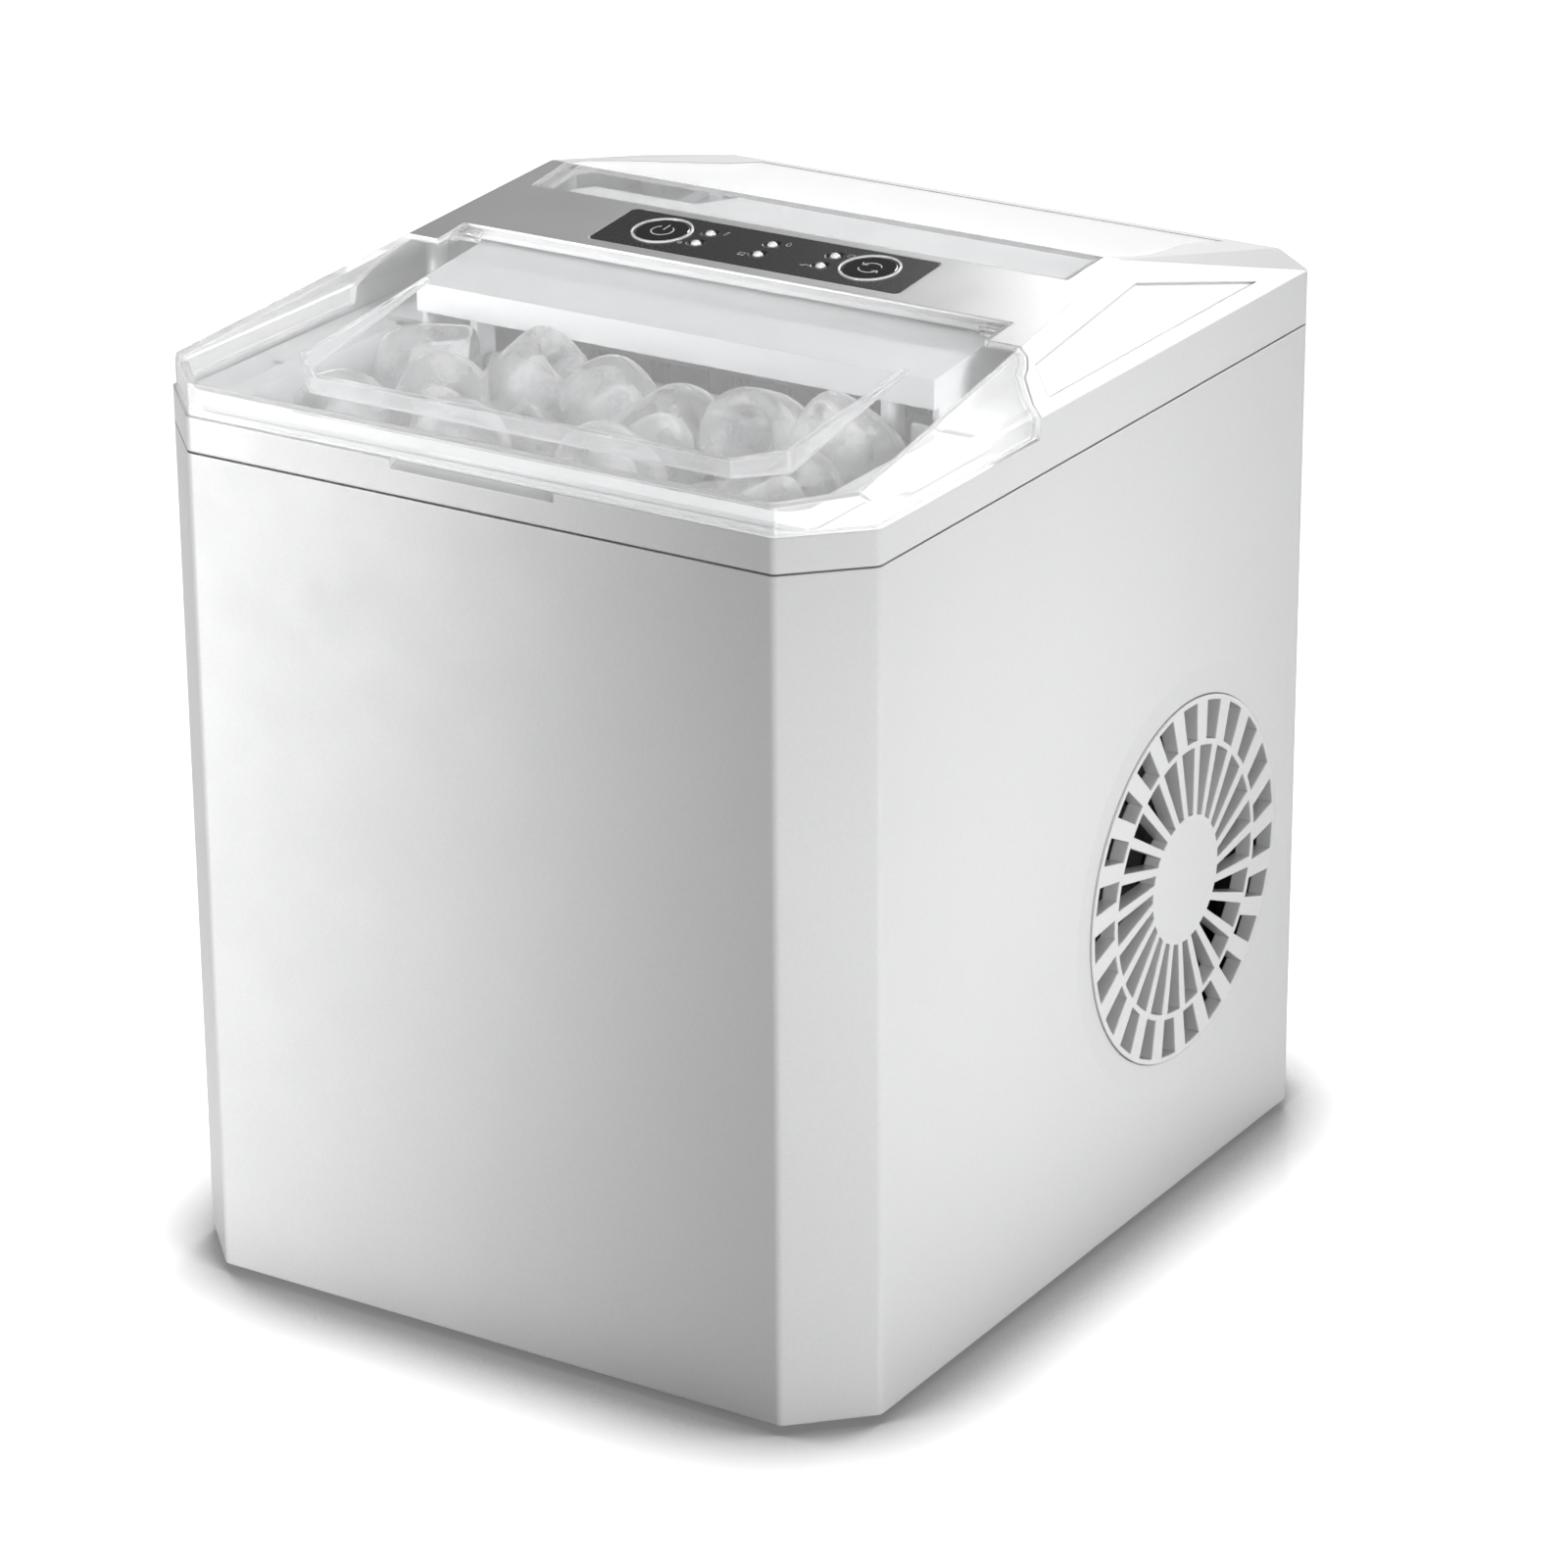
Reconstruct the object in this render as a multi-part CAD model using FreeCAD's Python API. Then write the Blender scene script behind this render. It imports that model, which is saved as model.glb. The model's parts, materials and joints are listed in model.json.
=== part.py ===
import FreeCAD, Part
import math
import os
from FreeCAD import Placement, Rotation, Vector

# Countertop bullet-ice maker. Millimetres, +Z up, origin at the middle of the
# footprint on the surface that the feet stand on. The ice lid is at -Y and the
# fan outlet is at +X.

# ---- cabinet ----
WIDTH = 236.0
DEPTH = 286.0
HALF_W = WIDTH / 2
HALF_D = DEPTH / 2
CORNER = 20.8            # 45 degree cut at each upright corner, along each face
EDGE_R = 3.0             # rounding of the upright edges
WRAP_T = 2.5
WRAP_BOTTOM = 3.0
WRAP_TOP = 257.6
FIT = 0.3                # working gap between fitted plastic parts

# ---- parts fixed to the cabinet ----
PANEL_BACK = HALF_D - WRAP_T - 0.1
PANEL_T = 2.2
PANEL_SCREWS = [(x, z) for x in (-91.5, 91.5) for z in (20.0, 130.0, 240.0)]
GLAND_X = 66.0
GLAND_Z = 38.0
GLAND_R = 7.0
FEET = [(x, y) for x in (-84.0, 84.0) for y in (-112.0, 112.0)]
FOOT_R = 9.5
FOOT_RECESS_R = 5.0
BACK_HALF = 88.0         # opening in the wrap's rear wall
BACK_LOW = 24.0
BACK_HIGH = 250.0
LOUVRES = 12             # air inlet slots in the -X wall
LOUVRE_Y = 4.0
LOUVRE_PITCH = 9.0
LOUVRE_W = 4.5
LOUVRE_LOW = 104.0
LOUVRE_HIGH = 150.0
BACK_SLOTS = 11          # in each of the rear panel's two columns
BACK_SLOT_Z = 96.0
BACK_SLOT_PITCH = 11.0
BACK_SLOT_X = 44.0
BACK_SLOT_HALF = 30.0
SCREW_R = 1.45
SCREW_HEAD_R = 3.0
PAN_BOTTOM = 4.0
PAN_T = 2.5
PAN_TOP = PAN_BOTTOM + PAN_T
PAN_RIM = 16.0
COVER_SCREWS = [(x, y) for x in (-106.0, 106.0) for y in (-8.0, 60.0, 108.0)]

# ---- roof: a hipped shape on top of the cabinet ----
COVER_BOTTOM = 258.2
BAND_TOP = 268.4         # rim that the ice lid rests on
STEP_TOP = 274.5         # outer edge of the roof behind the ice lid
COVER_T = 2.8
FRONT_RISE = 0.0976      # rise of the front slope per mm towards the rear
FRONT_EDGE_Z = 278.06    # front slope at the front face
RIDGE_Y = 42.0
SCOOP_HALF = 27.0        # finger notch in the front rim
BOSS_R = 3.6
LUG_R = 3.2
LUG_LENGTH = 6.6
REAR_EDGE_Z = 272.5
FLANK_RISE = 1.1
RIDGE_Z = FRONT_EDGE_Z + FRONT_RISE * (RIDGE_Y + HALF_D)
REAR_FALL = (RIDGE_Z - REAR_EDGE_Z) / (HALF_D - RIDGE_Y)
RIDGE_HALF = HALF_W - (RIDGE_Z - STEP_TOP) / FLANK_RISE

# ---- ice lid ----
LID_T = 2.8
LID_INSET = 0.9
LID_BOTTOM = BAND_TOP + FIT
TAB_HALF = 93.2          # middle tab, which carries the hinge
TAB_REAR = -12.4
WING_REAR = -25.6
WING_STEPS = [(-25.6, 287.0), (-28.5, 285.0), (-32.4, 283.5), (-37.0, 277.5), (-38.5, 268.0)]
LID_GAP = 0.9            # gap between the lid's rear edge and the cover
HINGE_Y = -14.4
HINGE_DROP = 2.6         # hinge axis below the front slope
HINGE_PIN_R = 1.25
HINGE_PLAY = 0.06
RIM_HALF = 82.0          # stiffening rim under the lid
RIM_FRONT = -121.0
RIM_REAR = -48.0
RIM_CORNER = 12.0
RIM_T = 1.8
RIM_DEPTH = 5.0

# ---- control panel, in a frame that lies on the front slope ----
PANEL_Y = 6.3            # middle of the panel
PANEL_HALF_X = 53.0
PANEL_HALF_Y = 12.6
PANEL_CORNER = 2.0
OVERLAY_T = 0.6
BUTTON_X = 35.7
BUTTON_V = 1.0
BUTTON_R = 8.3
BUTTON_TRAVEL = 0.8
RING_IN = 8.6
RING_OUT = 9.3
LED_PITCH = 21.4
LED_ROW = 4.0
LED_R = 1.7
LED_WELL_R = 2.9
BOARD_TOP = -9.0         # control board below the panel's face
BOARD_T = 1.6
SWITCH_T = 0.7           # height of the tact switches on the board

# ---- rear window ----
WINDOW_T = 2.8
WINDOW_OUTLINE = [(-92.0, 22.6), (92.0, 22.6), (93.0, 43.0), (95.0, 56.0), (93.0, 72.0),
                  (82.0, 113.0), (82.0, 135.0), (-82.0, 135.0), (-82.0, 113.0),
                  (-93.0, 72.0), (-95.0, 56.0), (-93.0, 43.0)]
LEDGE = 3.0

# ---- inner tub ----
TUB_HALF = 98.0
TUB_T = 2.2
TUB_FRONT = -128.0
TUB_REAR_LOW = -14.0
TUB_REAR_HIGH = 58.0
TUB_FLOOR = 46.0
SHELF_FRONT = 164.0
SHELF_REAR = 172.0
DECK_TOP = 266.4
DECK_T = 2.0
POST_X = -60.0           # post between the deck and the rear window
POST_HALF = 1.5
POST_TOP = 282.0
FRAME_X0 = -92.0         # raised frame on the deck behind the tub
FRAME_X1 = -66.0
FRAME_Y0 = 86.0
FRAME_Y1 = 118.0
FOAM_SPLIT_Y = -8.0      # foam is deep in front of this and shallow behind it

# ---- ice basket ----
BASKET_HALF = 94.5
BASKET_FRONT = -125.0
BASKET_REAR = -45.0
BASKET_FLOOR = 166.0
BASKET_T = 1.6
BASKET_RIM_Z = DECK_TOP + 0.2
BASKET_BACK_TOP = 225.0
BASKET_SLOTS = 9
BASKET_SLOT_PITCH = 18.0

# ---- freezing group ----
FINGER_R = 5.0
FINGER_PITCH = 28.0
FINGER_FRONT_Y = -15.0
FINGER_REAR_Y = 11.0
MANIFOLD_BOTTOM = 262.0
MANIFOLD_TOP = 272.3
FINGER_LENGTH = 38.0
BRACKET_TOP = MANIFOLD_TOP + 2.2
BRACKET_X0 = -86.0
BRACKET_X1 = 77.0
BRACKET_T = 2.5
TRAY_HALF = 72.0
TRAY_FRONT = -30.0
TRAY_AXIS_Y = 26.0
TRAY_AXIS_Z = 246.0
TRAY_DEPTH = 34.0
TRAY_T = 1.6
SHAFT_R = 3.0
PUSHER_Y = -36.5
PUSHER_Z = 258.0
PUSHER_HALF = 66.0
PUSHER_LENGTH = 32.0
PUSHER_SLOTS = 8
HOOD_FRONT = -44.0
HOOD_REAR = 82.0
HOOD_DROP = 6.5          # hood top below the roof
PANEL_WELL = 13.5        # the same under the control board
WELL_FRONT = -6.0
WELL_REAR = 21.0
HOOD_T = 2.0
HOOD_HALF = 88.0
HOOD_STEP_X = -50.0      # the rear left corner is left out
HOOD_STEP_Y = 48.0
HOOD_BOTTOM = DECK_TOP + 0.1
HOOD_FOOT_T = 1.6
HOOD_FOOT_X = 101.5

# ---- fan group, on the +X wall ----
FAN_Y = 54.0
FAN_Z = 102.4
VENT_R = 56.7
DISH_R = 66.5
DISH_DEPTH = 1.2
RING_MID = 42.3
HUB_DISC_R = 20.0
SPOKES = 23
SPOKE_LEAN = 20.0
FAN_HUB_R = 18.0
FAN_TIP_R = 50.0
BLADES = 7

SHROUD_X0 = 72.0
SHROUD_X1 = 98.0
SHROUD_HALF = 57.0
MOTOR_R = 15.0
MOTOR_SHAFT_R = 2.0

# ---- electronics box, on the -X wall ----
ECU_X = -96.0
ECU_Y0 = 14.0
ECU_Y1 = 104.0
ECU_Z0 = 18.0
ECU_Z1 = 96.0

# ---- compressor and condenser ----
COMP_X = -42.0
COMP_Y = 88.0
COMP_R = 42.0
COMP_FOOT_Z = 14.0
COMP_TOP = 138.0
COMP_EDGE = 16.0         # rounding of the can's ends
COMP_SEAM_Z = 84.0
COMP_T = 6.0             # stands for the can and the pump inside it
COND_X0 = 40.0
COND_X1 = 60.0
COND_Y0 = 14.0
COND_Y1 = 104.0
COND_Z0 = 46.0
COND_Z1 = 156.0
COND_ROWS = 5
COND_ROW = (COND_Z1 - COND_Z0) / COND_ROWS
FIN_PITCH = 5.0
TUBE_R = 3.0
DISCHARGE_Y = 128.0
DISCHARGE_Z = 153.0
DRIER_Y = 118.0
DRIER_PIPE_Z = 38.0
DRIER_BOTTOM = 62.0
DRIER_LENGTH = 52.0

# ---- pipes that rise through the deck ----
PIPE_Y = 74.0
SUCTION_X = -26.0
SUCTION_Z = 269.4
CAPILLARY_X = 12.0
CAPILLARY_BEND_Z = 180.0
CAPILLARY_TOP = 269.0

# ---- water: pump, hose and drain ----
PUMP_X = 30.0
PUMP_Y = -60.0
PUMP_R = 17.0
PUMP_BOTTOM = 12.0
PUMP_TOP = 32.0
PUMP_VANES = 6
HOSE_R = 4.0
HOSE_START_Z = 22.0
HOSE_X = 30.0
HOSE_Z = 254.0
HOSE_END_Y = 20.0
DRAIN_Y = -90.0
DRAIN_Z = 24.0
DRAIN_R = 9.0
DRAIN_PIPE_X = -84.0


def box(x0, x1, y0, y1, z0, z1):
    return Part.makeBox(x1 - x0, y1 - y0, z1 - z0, Vector(x0, y0, z0))


def rod(x, y, z, radius, length, axis=(0, 0, 1)):
    return Part.makeCylinder(radius, length, Vector(x, y, z), Vector(*axis))


def join(shapes):
    return shapes[0].multiFuse(shapes[1:]).removeSplitter()


def plate_xy(points, z0, z1):
    corners = [Vector(x, y, z0) for x, y in points]
    outline = Part.makePolygon(corners + [corners[0]])
    return Part.Face(outline).extrude(Vector(0, 0, z1 - z0))


def bar_yz(points, x0, x1):
    corners = [Vector(x0, y, z) for y, z in points]
    outline = Part.makePolygon(corners + [corners[0]])
    return Part.Face(outline).extrude(Vector(x1 - x0, 0, 0))


def save(name, shape):
    shape.exportStep("parts/" + name + ".step")


def octagon(inset, z0, z1, edge_r=0.0):
    """Upright prism with the cabinet's cut corners, moved in by inset."""
    x = HALF_W - inset
    y = HALF_D - inset
    cut = CORNER - inset * (2 - math.sqrt(2))
    points = [(-x + cut, -y), (x - cut, -y), (x, -y + cut), (x, y - cut),
              (x - cut, y), (-x + cut, y), (-x, y - cut), (-x, -y + cut)]
    prism = plate_xy(points, z0, z1)
    if edge_r:
        upright = [e for e in prism.Edges if abs(e.tangentAt(e.FirstParameter).z) > 0.99]
        prism = prism.makeFillet(edge_r, upright)
    return prism


def slope_z(y):
    """Height of the front slope of the roof at y."""
    return FRONT_EDGE_Z + FRONT_RISE * (y + HALF_D)


def rear_z(y):
    """Height of the rear slope of the roof at y."""
    return RIDGE_Z - REAR_FALL * (y - RIDGE_Y)


def roof_planes():
    """Point and outward normal of each roof plane."""
    planes = [(Vector(0, RIDGE_Y, RIDGE_Z), Vector(0, -FRONT_RISE, 1)),
              (Vector(0, RIDGE_Y, RIDGE_Z), Vector(0, REAR_FALL, 1))]
    for side in (-1, 1):
        planes.append((Vector(side * HALF_W, 0, STEP_TOP), Vector(side * FLANK_RISE, 0, 1)))
        ridge_end = Vector(side * RIDGE_HALF, RIDGE_Y, RIDGE_Z)
        side_corner = Vector(side * HALF_W, HALF_D - CORNER, STEP_TOP)
        rear_corner = Vector(side * (HALF_W - CORNER), HALF_D, REAR_EDGE_Z)
        normal = (side_corner - ridge_end).cross(rear_corner - ridge_end)
        if normal.z < 0:
            normal = -normal
        planes.append((ridge_end, normal))
    return planes


def trim_above(shape, point, normal, inset):
    direction = Vector(normal).normalize()
    cutter = Part.makeBox(800, 800, 200, Vector(-400, -400, 0))
    cutter.Placement = Placement(point - direction * inset, Rotation(Vector(0, 0, 1), direction))
    return shape.cut(cutter)


def hipped(side_inset, roof_inset, z0, edge_r=0.0):
    """Solid under the hipped roof, from z0 up, moved in from the outside."""
    solid = octagon(side_inset, z0, RIDGE_Z + 10, edge_r)
    for point, normal in roof_planes():
        solid = trim_above(solid, point, normal, roof_inset)
    return solid


def roof_skin(depth0, depth1, z0):
    """Layer of the roof between two depths below its surface."""
    return hipped(0, depth0, z0).cut(hipped(0, depth1, z0 - 1))


def panel_frame(shape, x=0.0, v=0.0):
    """Place a shape built about local Z onto the control panel's sloping face."""
    tilt = Rotation(Vector(1, 0, 0), math.degrees(math.atan(FRONT_RISE)))
    along = tilt.multVec(Vector(0, 1, 0))
    origin = Vector(x, PANEL_Y, slope_z(PANEL_Y)) + along * v
    placed = shape.copy()
    placed.Placement = Placement(origin, tilt)
    return placed


def tube(points, radius, bend):
    """Round tube along straight runs joined by tangent arcs."""
    stops = [Vector(*p) for p in points]
    edges = []
    start = stops[0]
    for before, corner, after in zip(stops, stops[1:], stops[2:]):
        back = (before - corner).normalize()
        ahead = (after - corner).normalize()
        half_turn = (math.pi - back.getAngle(ahead)) / 2
        setback = bend * math.tan(half_turn)
        arc_start = corner + back * setback
        arc_end = corner + ahead * setback
        middle = corner + (back + ahead).normalize() * (bend / math.cos(half_turn) - bend)
        edges.append(Part.LineSegment(start, arc_start).toShape())
        edges.append(Part.Arc(arc_start, middle, arc_end).toShape())
        start = arc_end
    edges.append(Part.LineSegment(start, stops[-1]).toShape())
    section = Part.Wire(Part.Circle(stops[0], stops[1] - stops[0], radius).toShape())
    return Part.Wire(edges).makePipeShell([section], True, False)


# ---------------------------------------------------------------- cabinet

def vent_opening(depth):
    """Round hole and its shallow dish in the +X wall."""
    hole = rod(HALF_W - depth, FAN_Y, FAN_Z, VENT_R + FIT, depth + 1, (1, 0, 0))
    dish = Part.makeCone(VENT_R + FIT, DISH_R, DISH_DEPTH,
                         Vector(HALF_W - DISH_DEPTH, FAN_Y, FAN_Z), Vector(1, 0, 0))
    return join([hole, dish])


def outer_wrap():
    wrap = octagon(0, WRAP_BOTTOM, WRAP_TOP, EDGE_R)
    wrap = wrap.cut(octagon(WRAP_T, WRAP_BOTTOM - 1, WRAP_TOP + 1))
    cuts = [box(-BACK_HALF, BACK_HALF, HALF_D - WRAP_T - 1, HALF_D + 1, BACK_LOW, BACK_HIGH)]
    cuts.append(vent_opening(WRAP_T + 1))
    for i in range(LOUVRES):
        y = LOUVRE_Y + i * LOUVRE_PITCH
        cuts.append(box(-HALF_W - 1, -HALF_W + WRAP_T + 1, y, y + LOUVRE_W, LOUVRE_LOW, LOUVRE_HIGH))
    cuts.append(rod(-HALF_W - 1, DRAIN_Y, DRAIN_Z, DRAIN_R + FIT, WRAP_T + 2, (1, 0, 0)))
    for x, z in PANEL_SCREWS:
        cuts.append(rod(x, HALF_D + 1, z, SCREW_R + 0.25, WRAP_T + 2, (0, -1, 0)))
        cuts.append(rod(x, HALF_D + 1, z, SCREW_HEAD_R + FIT, 2.4, (0, -1, 0)))
    return wrap.cut(cuts)


def rear_panel():
    half = BACK_HALF + 7.5
    panel = box(-half, half, PANEL_BACK - PANEL_T, PANEL_BACK, PAN_RIM + 1, BACK_HIGH + 3)
    cuts = []
    for side in (-1, 1):
        x0 = side * BACK_SLOT_X - BACK_SLOT_HALF
        x1 = side * BACK_SLOT_X + BACK_SLOT_HALF
        for i in range(BACK_SLOTS):
            z = BACK_SLOT_Z + i * BACK_SLOT_PITCH
            cuts.append(box(x0, x1, PANEL_BACK - 5, PANEL_BACK + 1, z, z + LOUVRE_W))
    for x, z in PANEL_SCREWS:
        cuts.append(rod(x, PANEL_BACK + 1, z, SCREW_R + 0.05, 6, (0, -1, 0)))
    cuts.append(rod(GLAND_X, PANEL_BACK + 1, GLAND_Z, GLAND_R + 0.2, 6, (0, -1, 0)))
    return panel.cut(cuts)


def rear_panel_screws():
    screws = []
    for x, z in PANEL_SCREWS:
        head = rod(x, HALF_D, z, SCREW_HEAD_R, 1.3, (0, -1, 0))
        slot = box(x - 2.2, x + 2.2, HALF_D - 0.6, HALF_D + 1, z - 0.35, z + 0.35)
        cross = box(x - 0.35, x + 0.35, HALF_D - 0.6, HALF_D + 1, z - 2.2, z + 2.2)
        shank = rod(x, HALF_D - 1.3, z, SCREW_R, 8, (0, -1, 0))
        screws.append(join([head, shank]).cut([slot, cross]))
    return Part.Compound(screws)


def power_gland():
    flange = rod(GLAND_X, PANEL_BACK, GLAND_Z, GLAND_R + 3, 2.0, (0, 1, 0))
    neck = rod(GLAND_X, PANEL_BACK - 8, GLAND_Z, GLAND_R, 8, (0, 1, 0))
    nut = rod(GLAND_X, PANEL_BACK - PANEL_T - 4, GLAND_Z, GLAND_R + 2.5, 3.9, (0, 1, 0))
    bore = rod(GLAND_X, PANEL_BACK - 20, GLAND_Z, GLAND_R / 2, 40, (0, 1, 0))
    return join([flange, neck, nut]).cut(bore)


def base_pan():
    pan = octagon(WRAP_T + FIT, PAN_BOTTOM, PAN_RIM)
    pan = pan.cut(octagon(WRAP_T + FIT + 1.6, PAN_TOP, PAN_RIM + 1))
    cuts = [rod(x, y, 0, 2.1, 20) for x, y in FEET]
    for x, y in compressor_bolt_places():
        cuts.append(rod(x, y, 0, 2.6, 12))
    cuts.append(box(-HALF_W, -HALF_W + 8, DRAIN_Y - 12, DRAIN_Y + 12, PAN_TOP, PAN_RIM + 1))
    return pan.cut(cuts)


def rubber_feet():
    feet = []
    for x, y in FEET:
        foot = Part.makeCone(FOOT_R, FOOT_R + 1.5, PAN_BOTTOM, Vector(x, y, 0))
        feet.append(foot.cut([rod(x, y, -1, FOOT_RECESS_R, 2.6), rod(x, y, -1, 2.1, 6)]))
    return Part.Compound(feet)


def foot_screws():
    screws = []
    for x, y in FEET:
        head = rod(x, y, 0.4, FOOT_RECESS_R - 0.4, 1.2)
        shank = rod(x, y, 1.6, 2.0, 8.4)
        screws.append(join([head, shank]))
    return Part.Compound(screws)


# ---------------------------------------------------------------- roof

def lid_zone(gap):
    """Space that the ice lid takes up, grown by gap at its rear edges."""
    profile = [(-HALF_D - 5, LID_BOTTOM - FIT)]
    profile.append((WING_STEPS[-1][0] + gap, LID_BOTTOM - FIT))
    for y, z in reversed(WING_STEPS[:-1]):
        profile.append((y + gap, z))
    profile.append((WING_REAR + gap, RIDGE_Z + 5))
    profile.append((-HALF_D - 5, RIDGE_Z + 5))
    wings = bar_yz(profile, -HALF_W - 5, HALF_W + 5)
    tab = box(-TAB_HALF - gap * 0.6, TAB_HALF + gap * 0.6, -HALF_D - 5, TAB_REAR + gap * 1.8,
              BAND_TOP, RIDGE_Z + 5)
    return join([wings, tab])


def hinge_z():
    return slope_z(HINGE_Y) - HINGE_DROP


def window_prism(grow, z0, z1):
    """Upright prism on the rear window's outline, grown by grow."""
    outline = Part.makePolygon([Vector(x, y, z0) for x, y in WINDOW_OUTLINE + WINDOW_OUTLINE[:1]])
    face = Part.Face(outline)
    if grow:
        face = face.makeOffset2D(grow, join=2)
    return face.extrude(Vector(0, 0, z1 - z0))


def flank_recess(side):
    """Shallow four-cornered sink in one flank of the cover."""
    outline = [(108.6, -24.0), (104.0, 42.0), (115.0, 95.0), (115.4, -28.0)]
    corners = []
    for x, y in outline:
        corners.append(Vector(side * x, y, STEP_TOP + FLANK_RISE * (HALF_W - x)))
    normal = Vector(side * FLANK_RISE, 0, 1).normalize()
    lifted = [c + normal * 2 for c in corners]
    face = Part.Face(Part.makePolygon(lifted + [lifted[0]]))
    return face.extrude(normal * -2.7)


def finger_scoop():
    """Sloping notch in the front rim, where fingers lift the lid."""
    front = -HALF_D - 1
    outline = [(front, BAND_TOP - 3.6), (front, BAND_TOP + 1), (-HALF_D + 5, BAND_TOP + 1),
               (-HALF_D + 5, BAND_TOP - 0.9), (-HALF_D + COVER_T, BAND_TOP - 0.9)]
    return bar_yz(outline, -SCOOP_HALF, SCOOP_HALF)


def cover_bosses():
    bosses = []
    for x, y in COVER_SCREWS:
        bosses.append(rod(x, y, DECK_TOP, BOSS_R, 30))
    return bosses


def hinge_lugs():
    lugs = []
    for side in (-1, 1):
        start = TAB_HALF + 0.6 if side > 0 else -TAB_HALF - 0.6 - LUG_LENGTH
        lugs.append(rod(start, HINGE_Y, hinge_z(), LUG_R, LUG_LENGTH, (1, 0, 0)))
        lugs.append(box(start, start + LUG_LENGTH, HINGE_Y - LUG_R, HINGE_Y + LUG_R, hinge_z(), RIDGE_Z))
    return lugs


def top_cover():
    outer = hipped(0, 0, COVER_BOTTOM, EDGE_R)
    inner = hipped(COVER_T, COVER_T, COVER_BOTTOM - 1)
    shell = outer.cut(inner)
    ledge = roof_skin(WINDOW_T, WINDOW_T + 1.8, STEP_TOP)
    ledge = ledge.common(window_prism(4, 260, 310)).cut(window_prism(-LEDGE, 250, 320))
    extras = [ledge.common(outer)]
    lip_y = TAB_REAR + LID_GAP * 1.8
    lip = bar_yz([(lip_y, slope_z(lip_y) - 5.5), (lip_y + 2.2, slope_z(lip_y) - 5.5),
                  (lip_y + 2.2, RIDGE_Z), (lip_y, RIDGE_Z)], -HALF_W, HALF_W)
    for part in cover_bosses() + hinge_lugs() + board_bosses() + [lip]:
        extras.append(part.common(hipped(0.5, 0.5, COVER_BOTTOM)))
    cover = join([shell] + extras)
    cuts = [lid_zone(LID_GAP), window_prism(FIT, 0, 400).common(roof_skin(-20, WINDOW_T, 200))]
    cuts.append(window_prism(-LEDGE, 200, 400))
    cuts += [flank_recess(-1), flank_recess(1), finger_scoop()]
    cuts += panel_cuts()
    for x, y in COVER_SCREWS:
        cuts.append(rod(x, y, DECK_TOP - 1, 1.3, 6))
    for x, v in board_screw_places():
        cuts.append(panel_frame(rod(0, 0, BOARD_TOP - 1, 1.0, 6), x, v))
    for side in (-1, 1):
        start = TAB_HALF - 8 if side > 0 else -TAB_HALF - 5.5
        cuts.append(rod(start, HINGE_Y, hinge_z(), HINGE_PIN_R, 13.5, (1, 0, 0)))
    return cover.cut(cuts)


def cover_screws():
    screws = []
    for x, y in COVER_SCREWS:
        head = rod(x, y, DECK_TOP - DECK_T - 1.6, 2.8, 1.6)
        shank = rod(x, y, DECK_TOP - DECK_T, 1.3, DECK_T + 4.5)
        screws.append(join([head, shank]))
    return Part.Compound(screws)


def rear_window():
    skin = roof_skin(0.1, WINDOW_T, STEP_TOP - 20)
    return skin.common(window_prism(0, 200, 400))


def hinge_pins():
    pins = []
    for side in (-1, 1):
        start = TAB_HALF - 6 if side > 0 else -TAB_HALF - 5.5
        pins.append(rod(start, HINGE_Y, hinge_z(), HINGE_PIN_R, 11.5, (1, 0, 0)))
    return Part.Compound(pins)


# ---------------------------------------------------------------- ice lid

def lid_rim():
    """Rim under the lid: a front run and two side runs that fade to the rear."""
    def outline(inset):
        x = RIM_HALF - inset
        front = RIM_FRONT + inset
        cut = RIM_CORNER - inset * (2 - math.sqrt(2))
        return [(-x, RIM_REAR), (-x, front + cut), (-x + cut, front),
                (x - cut, front), (x, front + cut), (x, RIM_REAR)]
    band = plate_xy(outline(0), 200, 320).cut(plate_xy(outline(RIM_T), 190, 330))
    band = band.cut(box(-RIM_HALF + RIM_T, RIM_HALF - RIM_T, RIM_REAR - 1, RIM_REAR + 1, 190, 330))
    front_low = slope_z(RIM_FRONT) - LID_T - RIM_DEPTH
    rear_low = slope_z(RIM_REAR) - LID_T - 0.5
    wedge = [(RIM_FRONT - 2, front_low), (RIM_FRONT + RIM_CORNER, front_low), (RIM_REAR + 2, rear_low),
             (RIM_REAR + 2, slope_z(RIM_REAR + 2) - 1), (RIM_FRONT - 2, slope_z(RIM_FRONT - 2) - 1)]
    return band.common(bar_yz(wedge, -RIM_HALF - 1, RIM_HALF + 1))


def ice_lid():
    outer = hipped(LID_INSET, 0, LID_BOTTOM, EDGE_R)
    inner = hipped(LID_INSET + LID_T, LID_T, LID_BOTTOM - 1)
    shell = outer.cut(inner)
    tab = box(-TAB_HALF, TAB_HALF, -HALF_D, TAB_REAR, 0, 400)
    wing_profile = [(-HALF_D - 5, 0), (WING_STEPS[-1][0], 0)]
    wing_profile += list(reversed(WING_STEPS))
    wing_profile += [(WING_REAR, 400), (-HALF_D - 5, 400)]
    wings = bar_yz(wing_profile, -HALF_W - 5, HALF_W + 5)
    shell = shell.common(join([tab, wings]))
    ears = []
    bores = []
    for side in (-1, 1):
        start = TAB_HALF - 7 if side > 0 else -TAB_HALF + 0.6
        ears.append(rod(start, HINGE_Y, hinge_z(), HINGE_DROP - 0.05, 6.4, (1, 0, 0)))
        bores.append(rod(start - 1, HINGE_Y, hinge_z(), HINGE_PIN_R + HINGE_PLAY, 8.4, (1, 0, 0)))
    return join([shell, lid_rim()] + ears).cut(bores)


# ---------------------------------------------------------------- controls

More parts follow.
